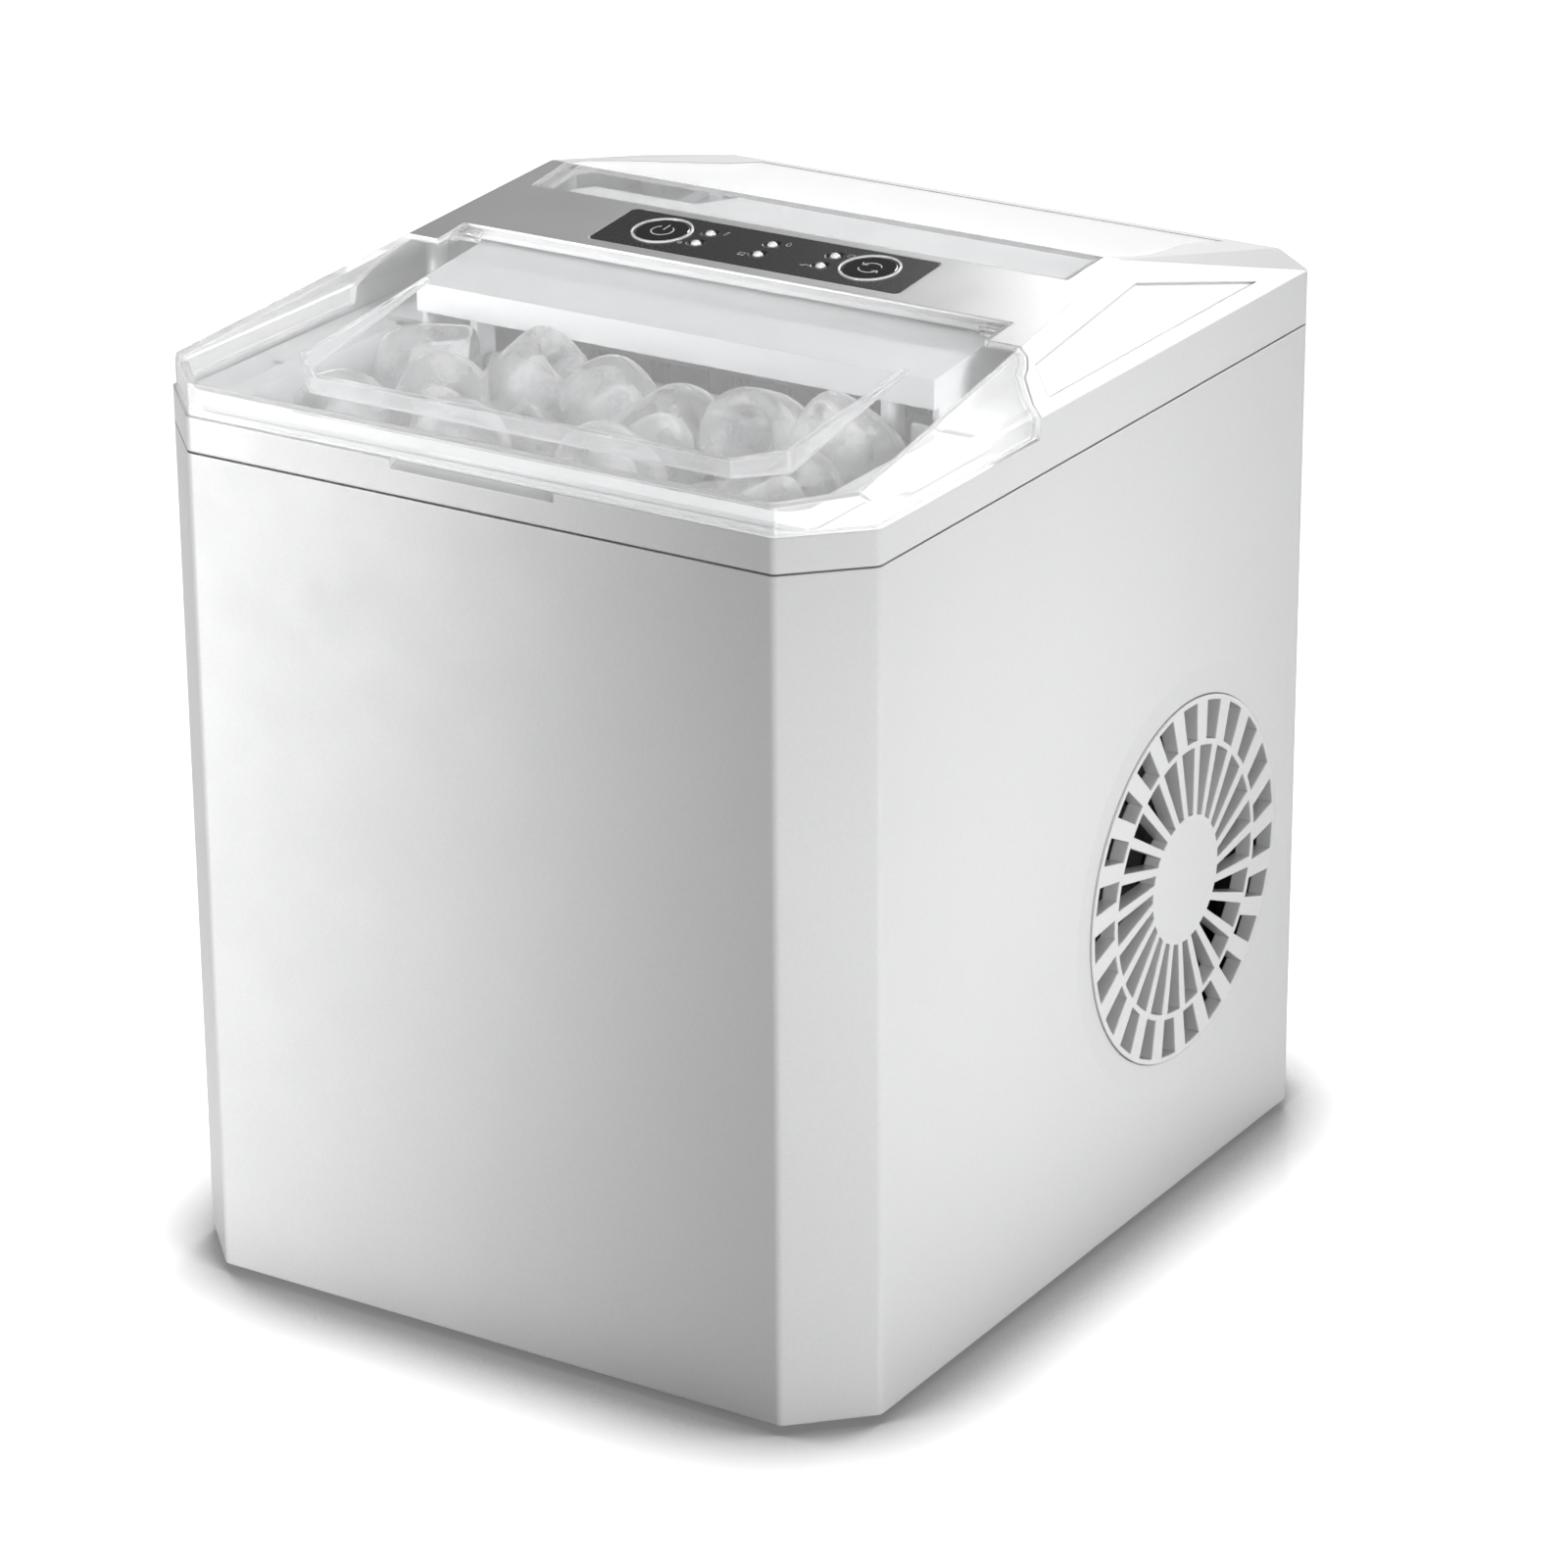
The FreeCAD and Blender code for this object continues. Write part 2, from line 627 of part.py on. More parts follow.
def rounded_plate(half_x, half_y, corner, w0, w1):
    plate = box(-half_x, half_x, -half_y, half_y, w0, w1)
    upright = [e for e in plate.Edges if abs(e.tangentAt(e.FirstParameter).z) > 0.99]
    return plate.makeFillet(corner, upright)


def led_places():
    return [(col * LED_PITCH, BUTTON_V + row * LED_ROW) for row in (-1, 1) for col in (-1, 0, 1)]


def panel_cuts():
    """Pocket for the overlay and the holes below it, cut from the cover."""
    pocket = rounded_plate(PANEL_HALF_X + 0.2, PANEL_HALF_Y + 0.2, PANEL_CORNER, -OVERLAY_T, 5)
    cuts = [panel_frame(pocket)]
    for side in (-1, 1):
        cuts.append(panel_frame(rod(0, 0, -8, RING_IN, 12), side * BUTTON_X, BUTTON_V))
    for x, v in led_places():
        cuts.append(panel_frame(rod(0, 0, -8, LED_R + 0.1, 12), x, v))
    return cuts


def control_overlay():
    plate = rounded_plate(PANEL_HALF_X, PANEL_HALF_Y, PANEL_CORNER, -OVERLAY_T, 0)
    cuts = [rod(side * BUTTON_X, BUTTON_V, -2, RING_OUT + 0.05, 4) for side in (-1, 1)]
    for x, v in led_places():
        cuts.append(Part.makeCone(LED_R + 0.1, LED_WELL_R, OVERLAY_T, Vector(x, v, -OVERLAY_T)))
    return panel_frame(plate.cut(cuts))


def button_rings():
    rings = []
    for side in (-1, 1):
        ring = rod(0, 0, -OVERLAY_T, RING_OUT, OVERLAY_T + 0.35).cut(rod(0, 0, -2, RING_IN, 4))
        rings.append(panel_frame(ring, side * BUTTON_X, BUTTON_V))
    return Part.Compound(rings)


def push_button(side):
    cap = rod(0, 0, -COVER_T - 0.6, BUTTON_R, COVER_T + 0.7)
    rim = [e for e in cap.Edges if e.BoundBox.ZMin > 0]
    cap = cap.makeFillet(0.5, rim)
    flange = rod(0, 0, -COVER_T - 1.6, BUTTON_R + 1.2, 1.3)
    stem_end = BOARD_TOP + SWITCH_T + BUTTON_TRAVEL + 0.1
    stem = rod(0, 0, stem_end, 2.0, -COVER_T - 1 - stem_end)
    return panel_frame(join([cap, flange, stem]), side * BUTTON_X, BUTTON_V)


def indicator_leds():
    leds = []
    for x, v in led_places():
        body = rod(0, 0, BOARD_TOP, LED_R, -BOARD_TOP - 0.3)
        dome = Part.makeSphere(LED_R, Vector(0, 0, -0.9), Vector(0, 0, 1), 0, 90, 360)
        leds.append(panel_frame(join([body.cut(box(-3, 3, -3, 3, -0.9, 2)), dome]), x, v))
    return Part.Compound(leds)


def board_screw_places():
    return [(sx * 47.0, sv * 8.5) for sx in (-1, 1) for sv in (-1, 1)]


def board_bosses():
    height = -BOARD_TOP - COVER_T + 0.5
    return [panel_frame(rod(0, 0, BOARD_TOP, 2.4, height), x, v) for x, v in board_screw_places()]


def control_board():
    board = rounded_plate(50, 11.5, 1.0, BOARD_TOP - BOARD_T, BOARD_TOP)
    return panel_frame(board.cut([rod(x, v, BOARD_TOP - 3, 1.1, 6) for x, v in board_screw_places()]))


def board_screws():
    screws = []
    for x, v in board_screw_places():
        head = rod(0, 0, BOARD_TOP - BOARD_T - 1.2, 2.0, 1.2)
        shank = rod(0, 0, BOARD_TOP - BOARD_T, 0.95, 5)
        screws.append(panel_frame(join([head, shank]), x, v))
    return Part.Compound(screws)


def tact_switches():
    switches = []
    for side in (-1, 1):
        can = box(-3, 3, -3, 3, BOARD_TOP, BOARD_TOP + SWITCH_T)
        switches.append(panel_frame(can, side * BUTTON_X, BUTTON_V))
    return Part.Compound(switches)


# ---------------------------------------------------------------- inner tub

def tub_profile(grow):
    """Side outline of the tub's hollow, grown outwards by grow."""
    return [(TUB_FRONT - grow, TUB_FLOOR - grow), (TUB_REAR_LOW + grow, TUB_FLOOR - grow),
            (TUB_REAR_LOW + grow, SHELF_FRONT - grow), (TUB_REAR_HIGH + grow, SHELF_REAR - grow),
            (TUB_REAR_HIGH + grow, 300), (TUB_FRONT - grow, 300)]


def tub_solid(grow):
    return bar_yz(tub_profile(grow), -TUB_HALF - grow, TUB_HALF + grow)


def inner_tub():
    walls = tub_solid(TUB_T).common(box(-150, 150, -150, 150, 0, DECK_TOP))
    deck = octagon(COVER_T + 0.4, DECK_TOP - DECK_T, DECK_TOP)
    post = box(POST_X - POST_HALF, POST_X + POST_HALF, PIPE_Y - POST_HALF, PIPE_Y + POST_HALF,
               DECK_TOP - 1, POST_TOP)
    frame = box(FRAME_X0, FRAME_X1, FRAME_Y0, FRAME_Y1, DECK_TOP - 1, DECK_TOP + 3)
    frame = frame.cut(box(FRAME_X0 + 3, FRAME_X1 - 3, FRAME_Y0 + 3, FRAME_Y1 - 3, 0, 300))
    tub = join([walls, deck, post, frame]).cut(tub_solid(0))
    cuts = [rod(x, y, DECK_TOP - 5, 1.4, 10) for x, y in COVER_SCREWS]
    cuts.append(rod(SUCTION_X, PIPE_Y, DECK_TOP - 5, 4.0, 8))
    cuts.append(rod(CAPILLARY_X, PIPE_Y, DECK_TOP - 5, 2.9, 8))
    cuts.append(rod(HOSE_X, TUB_REAR_HIGH - 1, HOSE_Z, 4.4, 6, (0, 1, 0)))
    cuts.append(rod(PUMP_X, PUMP_Y, TUB_FLOOR - 6, 3.0, 10))
    cuts.append(rod(DRAIN_PIPE_X, DRAIN_Y, TUB_FLOOR - 6, 4.0, 10))
    return tub.cut(cuts)


def insulation():
    top = DECK_TOP - DECK_T - 2
    front = octagon(COVER_T + 0.4, TUB_FLOOR - 10, top).common(box(-150, 150, -150, FOAM_SPLIT_Y, 0, 300))
    rear = box(-112, 112, FOAM_SPLIT_Y, TUB_REAR_HIGH + 10, SHELF_REAR + 4, top)
    foam = join([front, rear]).cut(tub_solid(TUB_T))
    cuts = [rod(HOSE_X, 50, HOSE_Z, 4.6, 30, (0, 1, 0))]
    cuts.append(rod(PUMP_X, PUMP_Y, 30, 4.6, 20))
    cuts.append(rod(DRAIN_PIPE_X, DRAIN_Y, 30, 6.0, 20))
    return foam.cut(cuts)


def ice_basket():
    outer = box(-BASKET_HALF, BASKET_HALF, BASKET_FRONT, BASKET_REAR, BASKET_FLOOR, BASKET_RIM_Z + 1.6)
    upright = [e for e in outer.Edges if abs(e.tangentAt(e.FirstParameter).z) > 0.99]
    outer = outer.makeFillet(10, upright)
    rim_points = [(-100, -131), (100, -131), (100, -90), (106.7, -89.5), (106.7, -47), (-106.7, -47),
                  (-106.7, -89.5), (-100, -90)]
    rim = plate_xy(rim_points, BASKET_RIM_Z, BASKET_RIM_Z + 1.6)
    inner = box(-BASKET_HALF + BASKET_T, BASKET_HALF - BASKET_T, BASKET_FRONT + BASKET_T,
                BASKET_REAR - BASKET_T, BASKET_FLOOR + BASKET_T, 300)
    upright = [e for e in inner.Edges if abs(e.tangentAt(e.FirstParameter).z) > 0.99]
    inner = inner.makeFillet(9, upright)
    basket = join([outer, rim])
    cuts = [inner, box(-82, 82, BASKET_REAR - 12, BASKET_REAR + 10, BASKET_BACK_TOP, 300)]
    for i in range(BASKET_SLOTS):
        x = (i - (BASKET_SLOTS - 1) / 2) * BASKET_SLOT_PITCH
        cuts.append(box(x - 3, x + 3, BASKET_FRONT + 14, BASKET_REAR - 14,
                        BASKET_FLOOR - 1, BASKET_FLOOR + 3))
        cuts.append(box(x - 3, x + 3, BASKET_FRONT - 2, BASKET_FRONT + 4,
                        BASKET_FLOOR + 14, BASKET_FLOOR + 48))
    return basket.cut(cuts)


def hood_profile(shrink):
    """Side outline of the hood's top, moved in by shrink, from front to rear."""
    low = PANEL_WELL + shrink
    drop = HOOD_DROP + shrink
    front = HOOD_FRONT + shrink
    rear = HOOD_REAR - shrink
    well_front = WELL_FRONT - shrink
    well_rear = WELL_REAR + shrink
    crest = RIDGE_Y - 10
    return [(front, slope_z(front) - drop), (well_front - 2, slope_z(WELL_FRONT - 2) - drop),
            (well_front, slope_z(WELL_FRONT) - low), (well_rear, slope_z(WELL_REAR) - low),
            (well_rear + 2, slope_z(WELL_REAR + 2) - drop), (crest, slope_z(crest) - drop),
            (crest + 6, rear_z(RIDGE_Y + 2) - drop - 1), (rear, rear_z(rear) - drop)]


def evaporator_hood():
    """Light cover over the freezing group: sloping top, well under the panel, rear box."""
    half = HOOD_HALF
    outer = bar_yz(hood_profile(0) + [(HOOD_REAR, HOOD_BOTTOM), (HOOD_FRONT, HOOD_BOTTOM)], -half, half)
    inner = bar_yz(hood_profile(HOOD_T) + [(HOOD_REAR - HOOD_T, 200), (HOOD_FRONT + HOOD_T, 200)],
                   -half + HOOD_T, half - HOOD_T)
    hood = outer.cut(inner)
    step_y = HOOD_STEP_Y
    step_x = HOOD_STEP_X
    low_corner = box(-half - 1, step_x - HOOD_T, step_y + HOOD_T, HOOD_REAR + 1, 200, 320)
    across = outer.common(box(-half, step_x, step_y, step_y + HOOD_T, 0, 320))
    along = outer.common(box(step_x - HOOD_T, step_x, step_y, HOOD_REAR, 0, 320))
    mouth = box(-half - 1, half + 1, HOOD_FRONT - 1, HOOD_FRONT + HOOD_T + 0.5, 0, HOOD_BOTTOM + 6)
    parts = [hood.cut(low_corner), across, along]
    for side in (-1, 1):
        x0 = side * 70 - 1.25
        top = slope_z(PUSHER_Y) - HOOD_DROP - 1
        parts.append(box(x0, x0 + 2.5, PUSHER_Y - 4.5, PUSHER_Y + 4.5, PUSHER_Z - 5, top))
        foot_x = half - 1 if side > 0 else -HOOD_FOOT_X
        foot_end = foot_x + HOOD_FOOT_X - half + 1
        parts.append(box(foot_x, foot_end, -40, step_y, HOOD_BOTTOM, HOOD_BOTTOM + HOOD_FOOT_T))
    bore = rod(-75, PUSHER_Y, PUSHER_Z, 2.06, 150, (1, 0, 0))
    return join(parts).cut([mouth, bore])


# ---------------------------------------------------------------- freezing group

def finger_places():
    front = [((i - 2) * FINGER_PITCH, FINGER_FRONT_Y) for i in range(5)]
    rear = [((i - 1.5) * FINGER_PITCH, FINGER_REAR_Y) for i in range(4)]
    return front + rear


def evaporator_manifold():
    half = 2 * FINGER_PITCH + 8
    block = box(-half, half, FINGER_FRONT_Y - 6, FINGER_REAR_Y + 7, MANIFOLD_BOTTOM, MANIFOLD_TOP)
    edges = [e for e in block.Edges if abs(e.tangentAt(e.FirstParameter).z) > 0.99]
    return block.makeFillet(4, edges)


def freezing_fingers():
    fingers = []
    for x, y in finger_places():
        shaft = rod(x, y, MANIFOLD_BOTTOM - FINGER_LENGTH, FINGER_R, FINGER_LENGTH)
        tip = [e for e in shaft.Edges if e.BoundBox.ZMax < MANIFOLD_BOTTOM - FINGER_LENGTH + 1]
        fingers.append(shaft.makeFillet(3.5, tip))
    return Part.Compound(fingers)


def evaporator_bracket():
    y0 = TRAY_AXIS_Y - 12
    y1 = TRAY_AXIS_Y + 8
    top = box(BRACKET_X0, BRACKET_X1, -18, y1, MANIFOLD_TOP, BRACKET_TOP)
    left = box(BRACKET_X0, BRACKET_X0 + BRACKET_T, y0, y1, TRAY_AXIS_Z - 8, BRACKET_TOP)
    right = box(BRACKET_X1 - BRACKET_T, BRACKET_X1, y0, y1, TRAY_AXIS_Z - 8, BRACKET_TOP)
    bore = rod(-90, TRAY_AXIS_Y, TRAY_AXIS_Z, SHAFT_R + 0.06, 180, (1, 0, 0))
    return join([top, left, right]).cut(bore)


def water_tray():
    bottom = TRAY_AXIS_Z - TRAY_DEPTH
    outer = box(-TRAY_HALF, TRAY_HALF, TRAY_FRONT, TRAY_AXIS_Y, bottom, TRAY_AXIS_Z)
    long_edges = [e for e in outer.Edges
                  if abs(e.tangentAt(e.FirstParameter).x) > 0.99 and e.BoundBox.ZMax < bottom + 1]
    outer = outer.makeFillet(8, long_edges)
    floor = bottom + TRAY_T
    inner = box(-TRAY_HALF + TRAY_T, TRAY_HALF - TRAY_T, TRAY_FRONT + TRAY_T, TRAY_AXIS_Y - TRAY_T,
                floor, TRAY_AXIS_Z + 1)
    long_edges = [e for e in inner.Edges
                  if abs(e.tangentAt(e.FirstParameter).x) > 0.99 and e.BoundBox.ZMax < floor + 1]
    inner = inner.makeFillet(6.5, long_edges)
    ears = []
    for x0 in (-TRAY_HALF, TRAY_HALF - 4):
        ears.append(rod(x0, TRAY_AXIS_Y, TRAY_AXIS_Z, SHAFT_R + 2.5, 4, (1, 0, 0)))
    tray = join([outer.cut(inner)] + ears)
    bore = rod(-TRAY_HALF - 1, TRAY_AXIS_Y, TRAY_AXIS_Z, SHAFT_R, 2 * TRAY_HALF + 2, (1, 0, 0))
    return tray.cut(bore)


def tray_shaft():
    return rod(-89, TRAY_AXIS_Y, TRAY_AXIS_Z, SHAFT_R, 168, (1, 0, 0))


def tray_motor():
    case = box(79.5, 96.5, TRAY_AXIS_Y - 16, TRAY_AXIS_Y + 16, TRAY_AXIS_Z - 15, TRAY_AXIS_Z + 15)
    edges = [e for e in case.Edges if abs(e.tangentAt(e.FirstParameter).x) > 0.99]
    case = case.makeFillet(5, edges)
    boss = rod(BRACKET_X1, TRAY_AXIS_Y, TRAY_AXIS_Z, 7, 3, (1, 0, 0))
    bore = rod(BRACKET_X1 - 1, TRAY_AXIS_Y, TRAY_AXIS_Z, SHAFT_R + 0.06, 4, (1, 0, 0))
    return join([case, boss]).cut(bore)


def ice_pusher():
    blade = box(-PUSHER_HALF, PUSHER_HALF, PUSHER_Y - 0.8, PUSHER_Y + 0.8,
                PUSHER_Z - PUSHER_LENGTH, PUSHER_Z)
    slots = []
    for i in range(PUSHER_SLOTS):
        x = (i - (PUSHER_SLOTS - 1) / 2) * FINGER_PITCH / 2
        slots.append(box(x - 2.5, x + 2.5, PUSHER_Y - 2, PUSHER_Y + 2,
                         PUSHER_Z - PUSHER_LENGTH - 1, PUSHER_Z - 10))
    barrel = rod(-PUSHER_HALF, PUSHER_Y, PUSHER_Z, 3.4, 2 * PUSHER_HALF, (1, 0, 0))
    bore = rod(-PUSHER_HALF - 1, PUSHER_Y, PUSHER_Z, 2.0, 2 * PUSHER_HALF + 2, (1, 0, 0))
    return join([blade.cut(slots), barrel]).cut(bore)


def pusher_rod():
    return rod(-73, PUSHER_Y, PUSHER_Z, 2.0, 146, (1, 0, 0))


def ice_level_sensors():
    eyes = []
    for side in (-1, 1):
        x0 = side * 80 - 3
        case = box(x0, x0 + 6, HOOD_FRONT + HOOD_T, -35, 272.5, 278)
        eyes.append(case)
    return Part.Compound(eyes)


# ---------------------------------------------------------------- water system

def water_pump():
    case = rod(PUMP_X, PUMP_Y, PUMP_BOTTOM, PUMP_R, PUMP_TOP - PUMP_BOTTOM)
    inlet = rod(PUMP_X, PUMP_Y, PUMP_TOP - 1, 4.2, TUB_FLOOR - TUB_T - PUMP_TOP + 1)
    outlet = rod(PUMP_X, PUMP_Y + PUMP_R - 3, HOSE_START_Z, 4.5, 9, (0, 1, 0))
    leg = box(PUMP_X - 12, PUMP_X + 12, PUMP_Y - 12, PUMP_Y + 12, PAN_TOP, PUMP_BOTTOM + 1)
    case = join([case, inlet, outlet, leg])
    hollow = rod(PUMP_X, PUMP_Y, PUMP_BOTTOM + 6, PUMP_R - 3, 11)
    return case.cut([hollow, rod(PUMP_X, PUMP_Y, PUMP_TOP - 5, 2.6, 30)])


def pump_impeller():
    z0 = PUMP_BOTTOM + 7
    disc = rod(PUMP_X, PUMP_Y, z0, 12.5, 1.5)
    hub = rod(PUMP_X, PUMP_Y, z0, 3.5, 8)
    vanes = []
    for i in range(PUMP_VANES):
        vane = box(3, PUMP_R - 4.7, -0.6, 0.6, 0, 7)
        turn = Rotation(Vector(0, 0, 1), i * 360.0 / PUMP_VANES)
        vane.Placement = Placement(Vector(PUMP_X, PUMP_Y, z0), turn)
        vanes.append(vane)
    return join([disc, hub] + vanes)


def water_hose():
    path = [(HOSE_X, PUMP_Y + PUMP_R + 6.1, HOSE_START_Z), (HOSE_X, PIPE_Y, HOSE_START_Z),
            (HOSE_X, PIPE_Y, HOSE_Z), (HOSE_X, HOSE_END_Y, HOSE_Z)]
    return tube(path, HOSE_R, 2 * HOSE_R)


def drain_spout():
    elbow = tube([(DRAIN_PIPE_X, DRAIN_Y, TUB_FLOOR - TUB_T), (DRAIN_PIPE_X, DRAIN_Y, DRAIN_Z),
                  (-HALF_W + 16, DRAIN_Y, DRAIN_Z)], 5.5, 10.0)
    bore = tube([(DRAIN_PIPE_X, DRAIN_Y, TUB_FLOOR - TUB_T + 0.01), (DRAIN_PIPE_X, DRAIN_Y, DRAIN_Z),
                 (-HALF_W + 15.9, DRAIN_Y, DRAIN_Z)], 3.8, 10.0)
    mouth = rod(-HALF_W + 2.7, DRAIN_Y, DRAIN_Z, 8.6, 14, (1, 0, 0))
    socket = rod(-HALF_W + 2, DRAIN_Y, DRAIN_Z, 6.3, 12, (1, 0, 0))
    throat = rod(-HALF_W + 8, DRAIN_Y, DRAIN_Z, 3.8, 12, (1, 0, 0))
    return join([elbow, mouth]).cut([bore, socket, throat])


def drain_plug():
    head = rod(-HALF_W + 0.2, DRAIN_Y, DRAIN_Z, DRAIN_R - 0.4, 2.2, (1, 0, 0))
    stem = rod(-HALF_W + 2.3, DRAIN_Y, DRAIN_Z, 5.6, 9, (1, 0, 0))
    grip = box(-HALF_W, -HALF_W + 1.2, DRAIN_Y - 6, DRAIN_Y + 6, DRAIN_Z - 3.4, DRAIN_Z - 1.2)
    grip_top = box(-HALF_W, -HALF_W + 1.2, DRAIN_Y - 6, DRAIN_Y + 6, DRAIN_Z + 1.2, DRAIN_Z + 3.4)
    return join([head, stem]).cut([grip, grip_top])


def drain_seal():
    ring = Part.makeTorus(5.6, 0.55, Vector(-HALF_W + 7, DRAIN_Y, DRAIN_Z), Vector(1, 0, 0))
    return ring.cut(rod(-HALF_W, DRAIN_Y, DRAIN_Z, 5.6, 20, (1, 0, 0)))


# ---------------------------------------------------------------- refrigeration

def compressor_bolt_places():
    return [(COMP_X + sx * 40, COMP_Y + sy * 33) for sx in (-1, 1) for sy in (-1, 1)]


def compressor():
    """Welded steel can with its foot plate and terminal cover."""
    def can(inset):
        bottom = COMP_FOOT_Z + 4 + inset
        body = rod(COMP_X, COMP_Y, bottom, COMP_R - inset, COMP_TOP - inset - bottom)
        rims = [e for e in body.Edges if e.Curve.TypeId == "Part::GeomCircle"]
        return body.makeFillet(COMP_EDGE - inset, rims)
    weld = rod(COMP_X, COMP_Y, COMP_SEAM_Z, COMP_R + 1.2, 3)
    foot = box(COMP_X - 48, COMP_X + 48, COMP_Y - 40, COMP_Y + 40, COMP_FOOT_Z, COMP_FOOT_Z + 2.5)
    neck = rod(COMP_X, COMP_Y, COMP_FOOT_Z, COMP_R - 12, 12)
    terminal = box(COMP_X + 12, COMP_X + 36, COMP_Y + 22, COMP_Y + 44, 60, 82)
    cuts = [rod(x, y, 0, 2.6, 30) for x, y in compressor_bolt_places()]
    return join([can(0), weld, foot, neck, terminal]).cut(cuts + [can(COMP_T)])


def compressor_grommets():
    mounts = []
    for x, y in compressor_bolt_places():
        z0 = PAN_TOP
        mounts.append(rod(x, y, z0, 6.5, COMP_FOOT_Z - z0).cut(rod(x, y, 0, 2.6, 30)))
    return Part.Compound(mounts)


def compressor_bolts():
    bolts = []
    for x, y in compressor_bolt_places():
        shank = rod(x, y, PAN_BOTTOM, 2.4, 18)
        nut = rod(x, y, COMP_FOOT_Z + 2.5, 4.4, 3.5)
        bolts.append(join([shank, nut]))
    return Part.Compound(bolts)


def condenser_tube_heights():
    return [COND_Z0 + (i + 0.5) * COND_ROW for i in range(COND_ROWS)]


def condenser_fins():
    """Fin pack: upright fins between two end plates that stand on the base pan."""
    x_mid = (COND_X0 + COND_X1) / 2
    count = int((COND_Y1 - COND_Y0) / FIN_PITCH) + 1
    holes = [rod(x_mid, COND_Y0 - 5, z, TUBE_R, 120, (0, 1, 0)) for z in condenser_tube_heights()]
    fins = []
    for i in range(count):
        y = COND_Y0 + i * FIN_PITCH
        bottom = PAN_TOP if i in (0, count - 1) else COND_Z0
        fins.append(box(COND_X0, COND_X1, y, y + 0.6, bottom, COND_Z1).cut(holes))
    return Part.Compound(fins)


def condenser_coil():
    """One tube that runs to and fro through the fins."""
    x_mid = (COND_X0 + COND_X1) / 2
    heights = condenser_tube_heights()
    parts = []
    for z in heights:
        parts.append(rod(x_mid, COND_Y0 - 2, z, TUBE_R, COND_Y1 - COND_Y0 + 4, (0, 1, 0)))
    for i, (low, high) in enumerate(zip(heights, heights[1:])):
        middle = (low + high) / 2
        at_rear = i % 2 == 0
        y_end = COND_Y1 + 2 if at_rear else COND_Y0 - 2
        ring = Part.makeTorus((high - low) / 2, TUBE_R, Vector(x_mid, y_end, middle), Vector(1, 0, 0))
        y0 = y_end if at_rear else y_end - 30
        keep = box(0, 100, y0, y0 + 30, 0, 300)
        parts.append(ring.common(keep))
    return join(parts)


def discharge_line():
    z = condenser_tube_heights()[-1]
    x_mid = (COND_X0 + COND_X1) / 2
    x = COMP_X + 18
    y = COMP_Y + 12
    path = [(x, y, COMP_TOP), (x, y, DISCHARGE_Z), (x, DISCHARGE_Y, DISCHARGE_Z),
            (x_mid, DISCHARGE_Y, DISCHARGE_Z), (x_mid, DISCHARGE_Y, z), (x_mid, COND_Y1 + 2, z)]
    return tube(path, 2.5, 3.6)


def filter_drier():
    body = rod(CAPILLARY_X, DRIER_Y, DRIER_BOTTOM, 8, DRIER_LENGTH)
    body = body.makeFillet(5, [e for e in body.Edges if e.Curve.TypeId == "Part::GeomCircle"])
    return body


def capillary_line():
    path = [(CAPILLARY_X, DRIER_Y, DRIER_BOTTOM + DRIER_LENGTH), (CAPILLARY_X, DRIER_Y, CAPILLARY_BEND_Z),
            (CAPILLARY_X, PIPE_Y, CAPILLARY_BEND_Z), (CAPILLARY_X, PIPE_Y, CAPILLARY_TOP),
            (CAPILLARY_X, FINGER_REAR_Y + 7, CAPILLARY_TOP)]
    return tube(path, 1.8, 5.0)


def drier_inlet_line():
    z = condenser_tube_heights()[0]
    x_mid = (COND_X0 + COND_X1) / 2
    path = [(x_mid, COND_Y0 - 2, z), (x_mid, COND_Y0 - 9, z), (x_mid + 16, COND_Y0 - 9, z),
            (x_mid + 16, COND_Y0 - 9, DRIER_PIPE_Z), (x_mid + 16, DRIER_Y, DRIER_PIPE_Z),
            (CAPILLARY_X, DRIER_Y, DRIER_PIPE_Z),
            (CAPILLARY_X, DRIER_Y, DRIER_BOTTOM)]
    return tube(path, 2.0, 3.2)


def suction_line():
    path = [(SUCTION_X, PIPE_Y, COMP_TOP), (SUCTION_X, PIPE_Y, SUCTION_Z),
            (SUCTION_X, FINGER_REAR_Y + 7, SUCTION_Z)]
    return tube(path, 2.6, 4.0)


def hot_gas_valve():
    body = box(24, 42, 109, 127, 96, 112)
    coil = rod(33, 118, 112, 8.5, 22)
    bracket = box(27, 39, 126, PANEL_BACK - PANEL_T, 100, 102)
    return join([body, coil, bracket])


# ---------------------------------------------------------------- fan group

def fan_grille():
    """Outlet grille: leaning spokes between a rim, a middle ring and a hub disc."""
    x0 = HALF_W - 5.6
    depth = 5.0
    rim = rod(x0, FAN_Y, FAN_Z, VENT_R, depth, (1, 0, 0))
    rim = rim.cut(rod(x0 - 1, FAN_Y, FAN_Z, VENT_R - 1.6, depth + 2, (1, 0, 0)))
    middle = rod(x0, FAN_Y, FAN_Z, RING_MID + 0.9, depth, (1, 0, 0))
    middle = middle.cut(rod(x0 - 1, FAN_Y, FAN_Z, RING_MID - 0.9, depth + 2, (1, 0, 0)))
    hub = rod(x0, FAN_Y, FAN_Z, HUB_DISC_R, depth, (1, 0, 0))
    flange = rod(x0, FAN_Y, FAN_Z, VENT_R + 5, 2.4, (1, 0, 0))
    flange = flange.cut(rod(x0 - 1, FAN_Y, FAN_Z, VENT_R - 1, 5, (1, 0, 0)))
    parts = [rim, middle, hub, flange]
    for i in range(SPOKES):
        turn = i * 360.0 / SPOKES
        parts.append(lean_spoke(turn, RING_MID, VENT_R - 0.8, 6.4, x0, depth))
        parts.append(lean_spoke(turn - 4, HUB_DISC_R - 1, RING_MID, 3.4, x0, depth))
    return join(parts)


